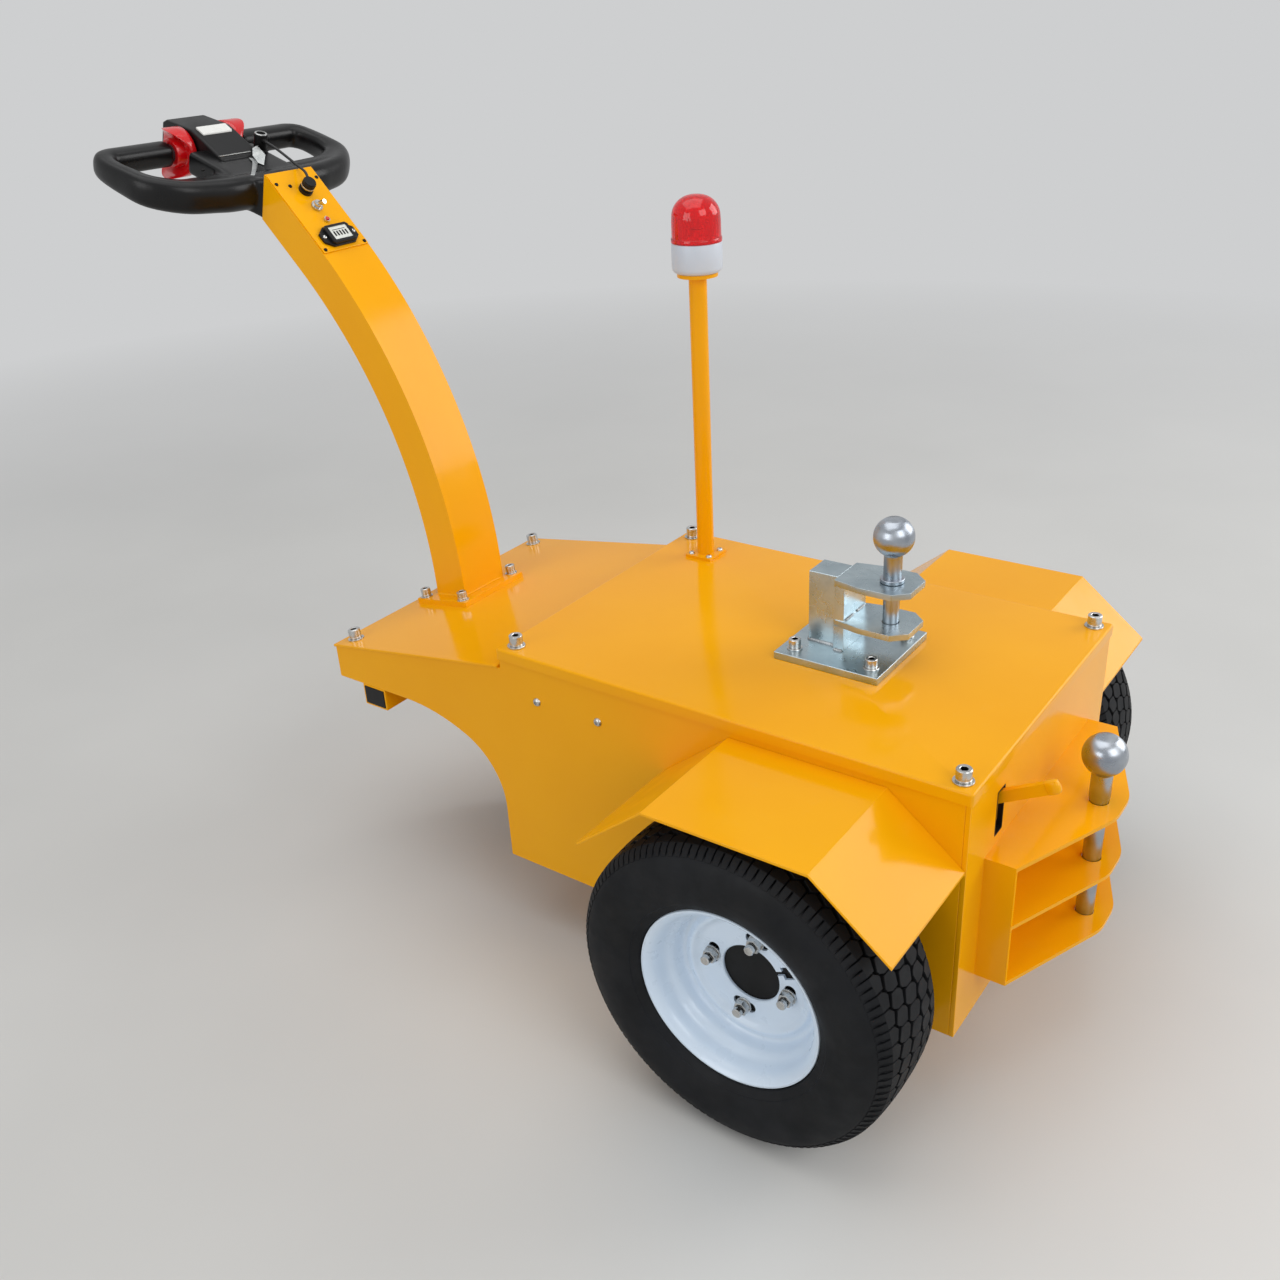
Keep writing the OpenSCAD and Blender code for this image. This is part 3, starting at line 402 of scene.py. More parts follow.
def hexagon_reach(a):
    """How far a hexagon with corners at distance 1 reaches in direction a."""
    return math.cos(TAU / 12) / math.cos(a % (TAU / 6) - TAU / 12)


def level(outline, z):
    """An outline of (x, y) at a height."""
    return [(x, y, z) for x, y in outline]


def rounded(x0, y0, x1, y1, r, n):
    """A rectangle with rounded corners, n steps to each."""
    points = []
    x0, y0, x1, y1 = x0 + r, y0 + r, x1 - r, y1 - r
    for cx, cy, start in ((x1, y1, 0), (x0, y1, 90), (x0, y0, 180), (x1, y0, 270)):
        for i in range(n + 1):
            t = math.radians(start + 90 * i / n)
            points.append((cx + r * math.cos(t), cy + r * math.sin(t)))
    return points


def inset(outline, d):
    """The outline moved inwards by d."""
    points = [Vector(p) for p in outline]
    before, after = points[-1:] + points[:-1], points[1:] + points[:1]
    turn = math.copysign(1, sum(p.cross(q) for p, q in zip(points, after)))
    out = []
    for p, q, r in zip(before, points, after):
        a, b = ((end - start).normalized().orthogonal() * turn for start, end in ((p, q), (q, r)))
        m = (a + b) / max(0.3, (a + b).dot(a))
        out.append((q.x + m.x * d, q.y + m.y * d))
    return out


def bulge(c, power=2.8):
    """Cosine or sine of a superellipse: squarer than a circle's."""
    return math.copysign(abs(c) ** (2 / power), c)


def smooth_path(points, n):
    """A smooth curve through points of any number of values, n steps between two points."""
    knots = [Vector(p) for p in points]
    out = []
    for a, b, c, d in zip(knots[:1] + knots, knots, knots[1:], knots[2:] + knots[-1:]):
        for k in range(n):
            t = k / n
            out.append(0.5 * (2 * b + (c - a) * t + (2 * a - 5 * b + 4 * c - d) * t * t
                              + (3 * b - a - 3 * c + d) * t ** 3))
    return out + knots[-1:]


# Pieces

def piece(name, data, body, stands_for):
    """Puts a mesh or curve into the scene as a piece on a body."""
    o = add(name, data)
    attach(o, body)
    if stands_for:
        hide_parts(*stands_for)
    return o


def soften(o, width, segments=2):
    """Rounds the sharp edges by a width in millimetres and keeps the flat faces flat."""
    b = o.modifiers.new("bevel", "BEVEL")
    b.width = width * MM
    b.segments = segments
    b.limit_method = "ANGLE"
    b.angle_limit = math.radians(30)
    n = o.modifiers.new("normals", "WEIGHTED_NORMAL")
    n.keep_sharp = False


def apply_modifiers(o):
    bpy.context.view_layer.update()
    mesh = bpy.data.meshes.new_from_object(o.evaluated_get(bpy.context.evaluated_depsgraph_get()))
    o.modifiers.clear()
    old = o.data
    o.data = mesh
    bpy.data.meshes.remove(old)


class Shape:
    """Closed solids gathered into one mesh; points are in the millimetres of a frame."""

    def __init__(self):
        self.bm = bmesh.new()

    def face(self, verts, inside):
        """Adds a face, which takes the second material inside."""
        if len(verts) > 2:
            f = self.bm.faces.new(verts)
            f.material_index = int(inside)
            f.smooth = True

    def loft(self, at, rings, closed=False, inner=math.inf):
        """Joins rings, a tip being one point; past the ring numbered inner the loft's inside starts."""
        rows = [[self.bm.verts.new(at @ Vector(p)) for p in ring] for ring in rings]
        for number, a in enumerate(rows if closed else rows[:-1]):
            b = rows[(number + 1) % len(rows)]
            n = max(len(a), len(b))
            for i in range(n):
                j = (i + 1) % n
                quad = (a[i % len(a)], a[j % len(a)], b[j % len(b)], b[i % len(b)])
                self.face(list(dict.fromkeys(quad)), number >= inner)
        if not closed:
            self.face(rows[0], False)
            self.face(rows[-1], inner < len(rows))

    def lathe(self, at, profile, seg):
        """A solid of revolution about the frame's z, from its half outline as (radius, z)."""
        self.loft(at, [around(r, z, seg) if r else [(0, 0, z)] for r, z in profile])

    def ring(self, at, profile, seg):
        """A closed ring of revolution: profile is a closed outline of (radius, z)."""
        self.loft(at, list(zip(*(around(r, z, seg) for r, z in profile))), closed=True)

    def prism(self, at, outline, z0, z1, chamfer):
        """An outline pushed from z0 to z1, with chamfered ends."""
        end = inset(outline, chamfer)
        self.loft(at, [level(end, z0), level(outline, z0 + chamfer), level(outline, z1 - chamfer),
                       level(end, z1)])

    def box(self, at, low, high, chamfer):
        self.prism(at, [(low[0], low[1]), (high[0], low[1]), (high[0], high[1]), (low[0], high[1])],
                   low[2], high[2], chamfer)

    def tube(self, at, points, radii, seg):
        """A round rod along points, with a radius for each."""
        points = [Vector(p) for p in points]
        last = len(points) - 1
        side = (points[1] - points[0]).orthogonal()
        rings = []
        for i, (p, r) in enumerate(zip(points, radii)):
            d = (points[min(i + 1, last)] - points[max(i - 1, 0)]).normalized()
            side = (side - d * side.dot(d)).normalized()
            up = d.cross(side)
            rings.append([p + r * (side * math.cos(TAU * k / seg) + up * math.sin(TAU * k / seg))
                          for k in range(seg)])
        self.loft(at, rings)

    def mesh(self, name, sharp=30):
        """The gathered solids as a mesh; an edge stays sharp where it turns by more than an angle."""
        bmesh.ops.remove_doubles(self.bm, verts=self.bm.verts, dist=2e-6)
        bmesh.ops.recalc_face_normals(self.bm, faces=self.bm.faces)
        mesh = bpy.data.meshes.new(name)
        self.bm.to_mesh(mesh)
        self.bm.free()
        mesh.set_sharp_from_angle(angle=math.radians(sharp))
        return mesh

    def make(self, name, materials, stands_for=(), sharp=30, body="chassis"):
        mesh = self.mesh(name, sharp)
        for material in materials:
            mesh.materials.append(material)
        return piece(name, mesh, body, stands_for)


# CAD nodes that show as they are

PAINTED = ("side_plate_left", "side_plate_right", "end_plate", "nose_plate", "arch_plate", "floor_pan",
           "front_deck", "fender_left", "fender_right", "cross_tube", "arm", "arm_panel", "beacon_pole",
           "release_lever", "caster_mount")
ZINCED = ("top_hitch_base", "top_hitch_jaw", "caster_plate", "caster_fork")

# Columns: nodes, material, width by which their edges are softened, segments of that rounding
FINISHES = (
    (PAINTED, PAINT, 0.8, 2),
    (("end_hitch",), PAINT, 0, 0),
    (ZINCED, ZINC, 0.8, 2),
    (("cross_tube_plugs",), BLACK, 1.2, 2),
    (("panel_controls",), CHROME, 0.5, 2),
    (("cable_plug",), BLACK, 0.6, 2),
    (("grip_bar",), BAR, 0.5, 2),
    (("head_box",), BLACK, 3.0, 4),
    (("head_button",), WHITE, 1.0, 2),
    (("axle_tube",), DARK, 1.0, 2),
    (("hub_left", "hub_right"), DARK, 0.6, 2),
    (("battery_block",), BATTERY, 4.0, 3),
    (("caster_wheel",), CASTER, 3.0, 3),
)


def dress(node, material, bevel, segments):
    """Gives a CAD node its finish, and softened edges or hard ones."""
    o = frame["nodes"][node]
    o.data.materials.clear()
    o.data.materials.append(material)
    for p in o.data.polygons:
        p.use_smooth = True
    w = o.modifiers.new("weld", "WELD")
    w.merge_threshold = 0.00002
    if bevel:
        soften(o, bevel, segments)
    else:
        e = o.modifiers.new("edges", "EDGE_SPLIT")
        e.split_angle = math.radians(25)


def dress_nodes():
    for nodes, *finish in FINISHES:
        for node in nodes:
            dress(node, *finish)


# Key cable, a free cord from the lock's side to the plug's side

CABLE_R = 0.002
ROUTE_ON_HEAD = ((102.7, 44.6, 36), (66, 36, 38.8), (30, 25, 41), (-2, 15.5, 42.3))
ROUTE_ON_ARM = ((16, 10, 16.5), (24, 7.4, 19.2), (30.9, 5.1, 19.5))


def key_cable():
    route = [HEAD @ Vector(p) for p in ROUTE_ON_HEAD] + [ARM @ Vector(p) for p in ROUTE_ON_ARM]
    path = smooth_path(route, 4)
    curve = bpy.data.curves.new("key_cable_lead", "CURVE")
    curve.dimensions = "3D"
    curve.bevel_depth = CABLE_R
    curve.bevel_resolution = 4
    curve.use_fill_caps = True
    spline = curve.splines.new("POLY")
    spline.points.add(len(path) - 1)
    for point, p in zip(spline.points, path):
        point.co = (p.x, p.y, p.z, 1)
    curve.materials.append(CABLE)
    o = piece("key_cable_lead", curve, "chassis", ("key_cable",))


# Top cover

def top_cover():
    """One folded sheet, open below, with rounded folds along its four sides."""
    fold, t, lip = 3.2, 2.0, 16
    corner = 0.3

    def ring(side, z, r):
        plan = rounded(side, side - COVER_HALF_W, COVER_L - side, COVER_HALF_W - side, r + corner, 6)
        return level(plan, z)

    def bend(r, side, steps):
        for i in range(steps + 1):
            a = TAU / 4 * i / steps
            yield ring(side + r * (1 - math.cos(a)), COVER_Z - fold + r * math.sin(a), r * math.cos(a))

    rings = list(bend(fold - t, t, 4))[::-1]
    rings.append(ring(t, COVER_Z - lip + 0.4, fold - t))
    rings.append(ring(t / 2, COVER_Z - lip, fold - t / 2 - corner))
    rings.append(ring(0, COVER_Z - lip + 0.4, fold))
    rings += bend(fold, 0, 6)
    s = Shape()
    s.loft(BODY, rings)
    s.make("cover_sheet", [PAINT], ("top_cover",), sharp=60)


# Screws: diameter and height of the head, diameter and thickness of the washer

BODY_SCREW = (18, 12, 24, 2.0)
FOOT_SCREW = (15, 10, 19, 1.6)
HITCH_SCREW = (15.5, 9.5, 20, 1.6)
SPRING_T = 2.4


def grid(xs, ys):
    return [(x, y) for x in xs for y in ys]


def washer(s, at, inner, outer, low, high, edge=0.3, rise=0.4, seg=28):
    """A flat ring with broken outer edges."""
    s.ring(at, [(inner, low), (outer - edge, low), (outer, low + rise), (outer, high - rise),
                (outer - edge, high), (inner, high)], seg)


def socket_head(s, at, r, z, h, socket):
    """A cylinder head with a hexagon socket in its top, whose walls take the second material."""
    seg = 30
    rings = [around(r - 0.3, z, seg), around(r, z + 0.3, seg), around(r, z + h - 0.9, seg),
             around(r - 0.9, z + h, seg)]
    for share, height in ((1.12, h), (1.0, h - 0.6), (1.0, h * 0.45)):
        rings.append(star([share * socket * hexagon_reach(TAU * i / seg) for i in range(seg)], z + height))
    s.loft(at, rings, inner=5)


def cap_screw(s, at, sizes):
    """A socket cap screw on a flat and a spring washer; the frame's z points out of the surface."""
    head_d, head_h, washer_d, washer_t = sizes
    hole, r, z = head_d * 0.28, head_d / 2, washer_t
    washer(s, at, hole, washer_d / 2, 0, washer_t)
    s.ring(at, [(hole, z), (r - 0.4, z), (r, z + 0.5), (r, z + 2.0), (r - 0.4, z + SPRING_T),
                (hole, z + SPRING_T)], 28)
    socket_head(s, at, r, z + SPRING_T, head_h, head_d * 0.27)


def dome_screw(s, at, r, h, socket=None):
    """A low rounded head with a hexagon socket of a given size, or else a cross."""
    seg, steps = 24, 6
    rings = []
    for k in range(steps):
        a = TAU / 4 * k / steps
        rings.append(around(r * math.cos(a * 0.82), h * math.sin(a) * 1.02, seg))
    top = rings[-1][0][2]
    if socket:
        reach = [socket * hexagon_reach(TAU * i / seg) for i in range(seg)]
    else:
        reach = [r * 0.42 * (1.0 if i % 6 in (0, 1, 5) else 0.45) for i in range(seg)]
    rings.append(star(reach, top + 0.05))
    rings.append(star([d * 0.96 for d in reach], top - h * 0.5))
    s.loft(at, rings)


def frame_screws():
    """The screws of the cover, the deck, the arm's foot, the hitch, the beacon's foot and the sides."""
    s = Shape()
    # Columns: frame, distances along and across, height, how far each screw is turned by those distances
    for at, xs, ys, z, (turn_x, turn_y), sizes in (
            (BODY, (20, 640), (-210, 210), COVER_Z, (0.37, 1), BODY_SCREW),
            (deck(-305), (0,), (-205, 205), 0, (0, 0.7), BODY_SCREW),
            (FOOT, (-41, 38), (-56, 56), FOOT_T, (1, 1), FOOT_SCREW),
            (BODY, (347, 453), (-50, 50), COVER_Z + HITCH_PLATE_T, (1, 1), HITCH_SCREW)):
        for x, y in grid(xs, ys):
            cap_screw(s, stand(at, (x, y, z), turn=x * turn_x + y * turn_y), sizes)
    pole_x, pole_y, _ = middle("beacon_pole")
    for x, y in grid((-15, 15), (-15, 15)):
        dome_screw(s, stand(BODY, (pole_x + x, pole_y + y, COVER_Z + 4)), 4.5, 3.2)
    for side, x in grid((-1, 1), (62.6, 162.4)):
        dome_screw(s, stand(BODY, (x, side * SIDE_Y, 382), (0, side, 0)), 6.0, 3.6, socket=2.6)
    s.make("frame_screws", [BOLT, DARK])


def panel_screws():
    s = Shape()
    for d, y in grid((21.2, 141.5), (-38, 38)) + [(28, -17.7)]:
        dome_screw(s, stand(ARM, (d, y, PANEL_T)), 2.9, 1.9)
    s.make("panel_screws", [DARK])


# Welds

def weld(s, at, a, b, radius, seed, pitch=3.2):
    """A rippled bead between two points."""
    a, b = Vector(a), Vector(b)
    length = (b - a).length
    steps = max(4, int(length / pitch * 4))
    points, radii = [], []
    for i in range(steps + 1):
        t = i / steps
        phase = length * t / pitch
        end = min(1.0, 0.45 + 6 * min(t, 1 - t))
        ripple = 0.86 + 0.16 * math.sin(math.pi * (phase % 1))
        sway = 1 + 0.05 * math.sin(7.3 * phase + seed)
        radii.append(radius * end * ripple * sway)
        points.append(a.lerp(b, t))
    s.tube(at, points, radii, 10)


def hitch_welds():
    """Beads round the hitch's post and where the jaw's plates meet its back."""
    s = Shape()
    post_x0, post_x1, post_y = 350, JAW_LOW[0], 20
    # The front of the jaw's back, and the two faces of its plates that look at each other
    back_x, plate_faces = 404.3, (JAW_HIGH[2] - 8, 498)
    z = JAW_LOW[2] + 0.5
    for side in (-1, 1):
        y = side * (post_y + 0.3)
        weld(s, BODY, (post_x0, y, z), (post_x1, y, z), 2.6, seed=post_x0)
        y = side * (post_y + 0.4)
        weld(s, BODY, (post_x1, y, z), (post_x1, y, JAW_HIGH[2] - 1), 2.3, seed=side)
        y = side * 30.3
        weld(s, BODY, (post_x1 + 1, y, z), (post_x1 + 13, y, z), 2.4, seed=side)
        for face_z in plate_faces:
            weld(s, BODY, (back_x, side * 27, face_z), (back_x, side * 4, face_z), 1.8, seed=face_z)
    x = post_x0 - 0.3
    weld(s, BODY, (x, -post_y - 0.3, z), (x, post_y + 0.3, z), 2.6, seed=x)
    s.make("hitch_welds", [WELD], sharp=70)


def painted_welds():
    """Beads round the arm's foot, along the fenders and under the end hitch's plates."""
    s = Shape()
    run, fall = 94, 76
    x0, x1, top = FENDER_LOW[0], FENDER_HIGH[0], FENDER_HIGH[2]
    fender = ((x0, top - fall), (x0 + run, top), (x1 - run, top), (x1, top - fall))
    z = FOOT_T + 0.4
    for side in (-1, 1):
        weld(s, FOOT, (-29, side * 44.3, z), (29, side * 44.3, z), 2.2, seed=side)
        weld(s, FOOT, (side * 30, -44, z), (side * 30, 44, z), 2.2, seed=side * 30)
        y = side * (SIDE_Y + 0.7)
        for a, b in zip(fender, fender[1:]):
            weld(s, BODY, (a[0], y, a[1] - 5), (b[0], y, b[1] - 5), 1.9, pitch=4, seed=a[0])
    (_, _, low), (_, half_w, high) = corners("end_hitch")
    x, plate_t = END_X + 0.5, 5
    half_w -= plate_t
    low += plate_t
    for top in (high, (high + low) / 2, low):
        z = top - plate_t - 0.4
        weld(s, BODY, (x, -half_w, z), (x, half_w, z), 1.8, pitch=4, seed=top)
    s.make("painted_welds", [PAINT], sharp=70)


# Drop pins with balls for heads

def pin_profile(rod, ball, neck, low, rest, collar=0):
    """Half a pin's outline as (radius, z): rod from low to rest, collar if any, neck and ball."""
    neck_r = rod * 1.12
    profile = [(0, low), (rod - 2.5, low), (rod, low + 3), (rod, rest + 0.3)]
    if collar:
        profile += [(collar - 0.6, rest + 0.3), (collar, rest + 0.9), (collar, rest + 4.7),
                    (collar - 0.6, rest + 5.3)]
    start = math.asin(neck_r / ball * 1.08)
    centre = rest + neck + ball * 0.9
    profile += [(neck_r, rest + 5.4), (neck_r, centre - ball * math.cos(start) - 2.5)]
    for i in range(21):
        a = start + (math.radians(154) - start) * i / 20
        profile.append((ball * math.sin(a), centre - ball * math.cos(a)))
    profile.append((0, profile[-1][1] + 0.01))
    return profile


def drop_pin(node, body, plates, **sizes):
    """A turned pin that replaces a CAD node and hangs in the plates of another one."""
    low, rest = corners(node)[0][2], corners(plates)[1][2]
    s = Shape()
    s.lathe(stand(BODY, (middle(node)[0], 0, 0)), pin_profile(low=low, rest=rest, **sizes), 64)
    s.make(node + "_turned", [BALL], (node,), 35, body)


# Release lever

def lever_cap():
    """The lever's rounded end. Columns: distance along it and share of its full section."""
    at = leaning((END_X, LEVER_Y, LEVER_Z), LEVER_TILT)
    start, half_w, half_h = 57, 5.6, 8.6
    s = Shape()
    s.loft(at, [[(start + x, half_w * share * bulge(c), half_h * share * bulge(h))
                 for c, h, _ in around(1, 0, 24)]
                for x, share in ((0, 0.9), (0.6, 1.0), (10, 1.0), (13, 0.86), (14.4, 0.5))])
    s.make("lever_cap", [PAINT], sharp=50)


def slot_shade_lining():
    """A black lining round the inside of the lever's slot: painted shade for the dark inside of the slot."""
    # Painted shade: a dark lining that darkens the slot's walls, where shade falls.
    half_w, half_h, wall, depth = 11.2, 29.7, 1.4, 7
    at = axes((END_X, LEVER_Y, LEVER_Z - 19.5), (0, 1, 0), (0, 0, 1), (1, 0, 0))
    s = Shape()
    s.loft(at, [level(rounded(d - half_w, d - half_h, half_w - d, half_h - d, 2, 3), z)
                for d, z in ((0, -depth), (0, 0.3), (wall, 0.3), (wall, -depth))], closed=True)
    s.make("slot_shade_lining", [DARK])


# Handle

# Half of the loop. Columns: distance from the arm, distance to the side, half width in the loop's
# plane, half height across it, and how far its top falls inwards
LOOP = [(47, 60, 39, 27, 14), (50, 100, 36, 26, 13), (57, 141, 28, 25, 9), (84, 175, 20, 23, 4),
        (122, 185, 15, 20, 0), (158, 185, 15, 18, 0), (178, 178, 16, 18, 0), (BAR_U, 164, 17, 17.5, 0),
        (BAR_U, 150, 17.5, 17.5, 0), (BAR_U, 110, 17.5, 17.5, 0), (BAR_U, 66, 17.5, 17.5, 0)]

# The socket over the arm's end. Columns: distance from the arm, half width, lowest and highest
SOCKET = ((-1, 43, -33, 30), (6, 44, -32, 29), (16, 50, -29, 25), (30, 60, -25, 19))


def loop_rings():
    """Sections along the whole loop, each a superellipse whose top may fall inwards."""
    knots = [(u, -v, half_w, half_h, fall) for u, v, half_w, half_h, fall in reversed(LOOP)] + LOOP
    path = smooth_path(knots, 6)
    last = len(path) - 1
    rings = []
    for i, (u, v, half_w, half_h, fall) in enumerate(path):
        ahead = path[min(i + 1, last)] - path[max(i - 1, 0)]
        ahead = Vector((ahead[0], ahead[1])).normalized()
        ring = []
        for c, s, _ in around(1, 0, 32):
            across, high = bulge(c), half_h * bulge(s)
            inward = min(1.0, max(0.0, (across + 0.7) / 1.2))
            high -= max(0.0, fall) * inward * inward * (3 - 2 * inward) * max(0.0, high / half_h)
            ring.append((u + ahead.y * half_w * across, v - ahead.x * half_w * across, high))
        rings.append(ring)
    return rings


def handle():
    """Loop, socket and web, melted into one moulding."""
    s = Shape()
    s.loft(HEAD, loop_rings())
    s.loft(HEAD, [[(u, y, z) for y, z in rounded(-half_w, low, half_w, high, 7, 4)]
                  for u, half_w, low, high in SOCKET])
    s.loft(HEAD, [[(u, y, z) for y, z in rounded(-60, -17, 60, 17, 5, 4)] for u in (25, 60, 120, 146)])
    o = piece("handle_moulding", s.mesh("handle_moulding"), "chassis",
              ("handle_loop", "grips"))
    remesh = o.modifiers.new("remesh", "REMESH")
    remesh.mode = "VOXEL"
    remesh.voxel_size = 0.0026
    smooth = o.modifiers.new("smooth", "SMOOTH")
    smooth.factor = 0.5
    smooth.iterations = 8
    apply_modifiers(o)
    for p in o.data.polygons:
        p.use_smooth = True
    o.data.materials.append(GRIP)


def throttle(s, side):
    """A thumb throttle: a red disc round the bar with an upper and a lower wing."""
    seg, bore, rim_r, wall_y = 96, 13.4, 36, 39.6

    def front(r, a, drop=0.0):
        """How far out the front lies, with wings that rise towards the rim; drop is taken off."""
        return 46 + 27 * abs(math.sin(a)) ** 3 * (r / rim_r) ** 3 - drop

    def row(r, out):
        """A ring of radius r round the bar; out gives its distance by the angle."""
        turns = [TAU * i / seg for i in range(seg)]
        return [(BAR_U + r * math.cos(a), side * out(a), r * math.sin(a)) for a in turns]

    rings = [row(bore, lambda a: 38.2), row(34.6, lambda a: 38.2), row(rim_r, lambda a: wall_y)]
    for share in (0.35, 0.7, 1.0):
        rings.append(row(rim_r, lambda a: wall_y + (front(rim_r, a, 2.2) - wall_y) * share))
    for r, drop in ((35.4, 0.6), (34, 0), (31, 0), (28, 0), (25, 0), (22.5, 0)):
        rings.append(row(r, lambda a: front(r, a, drop)))
    rings.append(row(21.2, lambda a: max(front(21.2, a), 47.5)))
    for r, out in ((20.8, 60.4), (19.8, 61.6), (bore, 61.6)):
        rings.append(row(r, lambda a: out))
    s.loft(HEAD, rings, closed=True)


def throttles():
    s = Shape()
    for side in (-1, 1):
        throttle(s, side)
    s.make("throttle_discs", [RED], ("throttles",), sharp=48)


# Lock and key

LOCK_U, LOCK_Y, LOCK_TOP = 113, 47, 42.8
# The fob leans on the lock, and the blade lies on the web. Columns: u, y, height
FOB = ((106.0, 25.6, 25.4), (106.4, 35.2, 28.1), (80.2, 28.4, 24.7), (61.8, 10.1, 18.4), (71.6, 7.8, 18.3),
       (90.9, 13.4, 21.0))
BLADE = ((92.0, 6.8, 19.0), (80.0, 3.7, 18.4), (70.6, -4.3, 18.6), (50.4, -22.6, 19.6), (28.0, -44.0, 24.0),
         (24.5, -39.5, 24.6), (48.0, -16.1, 19.8), (73.8, 8.7, 18.6), (88.0, 11.0, 18.8))


def key_lock():
    """The lock's nut and barrel, with the boss that its cable leaves."""
    s = Shape()
    barrel = stand(HEAD, (LOCK_U, LOCK_Y, 0))
    s.prism(barrel, hexagon(12.6), 16.8, 20.6, 0.6)
    s.lathe(barrel, [(0, 20.4), (9.8, 20.4), (10, 20.8), (10, 42.2), (9.6, LOCK_TOP), (6.6, LOCK_TOP),
                     (6.6, 41.4), (0, 41.4)], 40)
    s.tube(HEAD, [(106, 45.4, 36), ROUTE_ON_HEAD[0], (97.5, 43.4, 36.3)], (3.6, 3.4, 2.4), 16)
    s.make("key_lock", [DARK], ("key_switch",))


def key_ring():
    """The lock's bright ring, the key's shank beside it, and a chrome strip on the box that paints the
    highlight along its lower edge.
    """
    s = Shape()
    lock = stand(HEAD, (LOCK_U, LOCK_Y, LOCK_TOP))
    s.ring(lock, [(6.8, 0), (9.4, 0), (9.4, 0.8), (8.8, 1.4), (6.8, 1.4)], 36)
    shank = [(9.9, -1.8), (9.9, 1.8), (11.1, 1.8), (11.1, -1.8)]
    s.loft(turned(lock, 221), [level(shank, 0.6), level(shank, -15)])
    # Painted highlight: a bright chrome strip where the box's lower edge catches the light.
    s.box(turned(stand(HEAD, (106.5, 0, 21.3)), -15.3, "Y"), (-1.5, -22, -0.4), (1.5, 36, 0.9), 0.3)
    s.make("key_ring", [CHROME])


def key_blank():
    s = Shape()
    for outline, thick in ((FOB, 2.2), (BLADE, 1.6)):
        s.loft(HEAD, [[(u, y, z + side * thick / 2) for u, y, z in outline] for side in (-1, 1)])
    soften(s.make("key_blank", [KEY]), 0.4)


def web_screw():
    s = Shape()
    dome_screw(s, stand(HEAD, (77, -88, 18.6), (0.68, 0, 0.73)), 3.2, 2.0)
    s.make("web_screw", [DARK])


# Gauge, lamp and plug on the arm's panel

GAUGE = stand(ARM, (124, 0, 11))
PLUG = stand(ARM, (40, 2, PANEL_T))


def octagon(x0, y0, x1, y1):
    """Two corners repeated in the four quarters."""
    return [(x0, y0), (x0, -y0), (x1, -y1), (-x1, -y1), (-x0, -y0), (-x0, y0), (-x1, y1), (x1, y1)]


def gauge_bezel():
    """A lozenge-shaped flange, and a case that slopes in to a lip round the window."""
    s = Shape()
    s.prism(GAUGE, octagon(17, 20, 7.5, 33), -9, -4.6, 0.8)
    case, lip = octagon(15.5, 19, 12, 22.5), octagon(11, 17, 11, 17.01)
    top = [(x * 0.93, y * 0.95) for x, y in case]
    s.loft(GAUGE, [level(case, -4.9), level(case, -0.6), level(top, 0.9), level(lip, 0.9), level(lip, -0.8)])
    s.make("gauge_bezel", [BLACK], ("battery_gauge",))


def gauge_window():
    s = Shape()
    s.prism(GAUGE, rounded(-11.4, -17.4, 11.4, 17.4, 1.2, 3), -1.2, -0.2, 0.2)
    s.make("gauge_window", [DISPLAY])


def gauge_bars():
    """Five bars of charge over a thin line."""
    s = Shape()
    for i in range(5):
        y = 5.5 * (i - 2)
        s.box(GAUGE, (-5.2, y - 1.5, -0.3), (3.2, y + 1.5, 0.0), 0.08)
    s.box(GAUGE, (5.0, -12, -0.3), (6.0, 12, 0.0), 0.08)
    s.make("gauge_bars", [DARK])


def gauge_screws():
    s = Shape()
    for y in (-27.5, 27.5):
        dome_screw(s, stand(GAUGE, (0, y, -4.7)), 3.4, 2.2)
    s.make("gauge_screws", [CHROME])


def lamp_lens():
    s = Shape()
    s.lathe(stand(ARM, (95, 0, 6)), [(3.1, -0.6), (3.1, 0.2), (2.7, 1.4), (1.6, 2.3), (0, 2.6)], 24)
    s.make("lamp_lens", [RED], sharp=60)


def plug_ring():
    s = Shape()
    washer(s, PLUG, 8.6, 9.8, 9.0, 11.2, edge=0.2, rise=0.3, seg=36)
    s.make("plug_ring", [CHROME])


def plug_knurl():
    """A sleeve whose outside has a rib at every second point."""
    s = Shape()
    points, rib = 72, 0.35
    s.loft(PLUG, [star([r + (rib if i % 2 and r > 9 else 0) for i in range(points)], z)
                  for r, z in ((8.7, 11.4), (9.3, 11.4), (9.5, 11.8), (9.5, 18.2), (9.2, 18.8), (8.7, 18.8))],
           closed=True)
    s.make("plug_knurl", [BLACK])


# Beacon

POLE = middle("beacon_pole")
BEACON = stand(BODY, (POLE[0], POLE[1], corners("beacon_pole")[1][2]))


def beacon_body():
    s = Shape()
    s.lathe(BEACON, [(24, 0), (28, 0.2), (31.6, 1.8), (33.6, 4.4), (34.4, 7.6), (34.4, 38), (33.8, 40),
                     (32.5, 40.5)], 72)
    s.make("beacon_body", [GREY], ("beacon_base",))


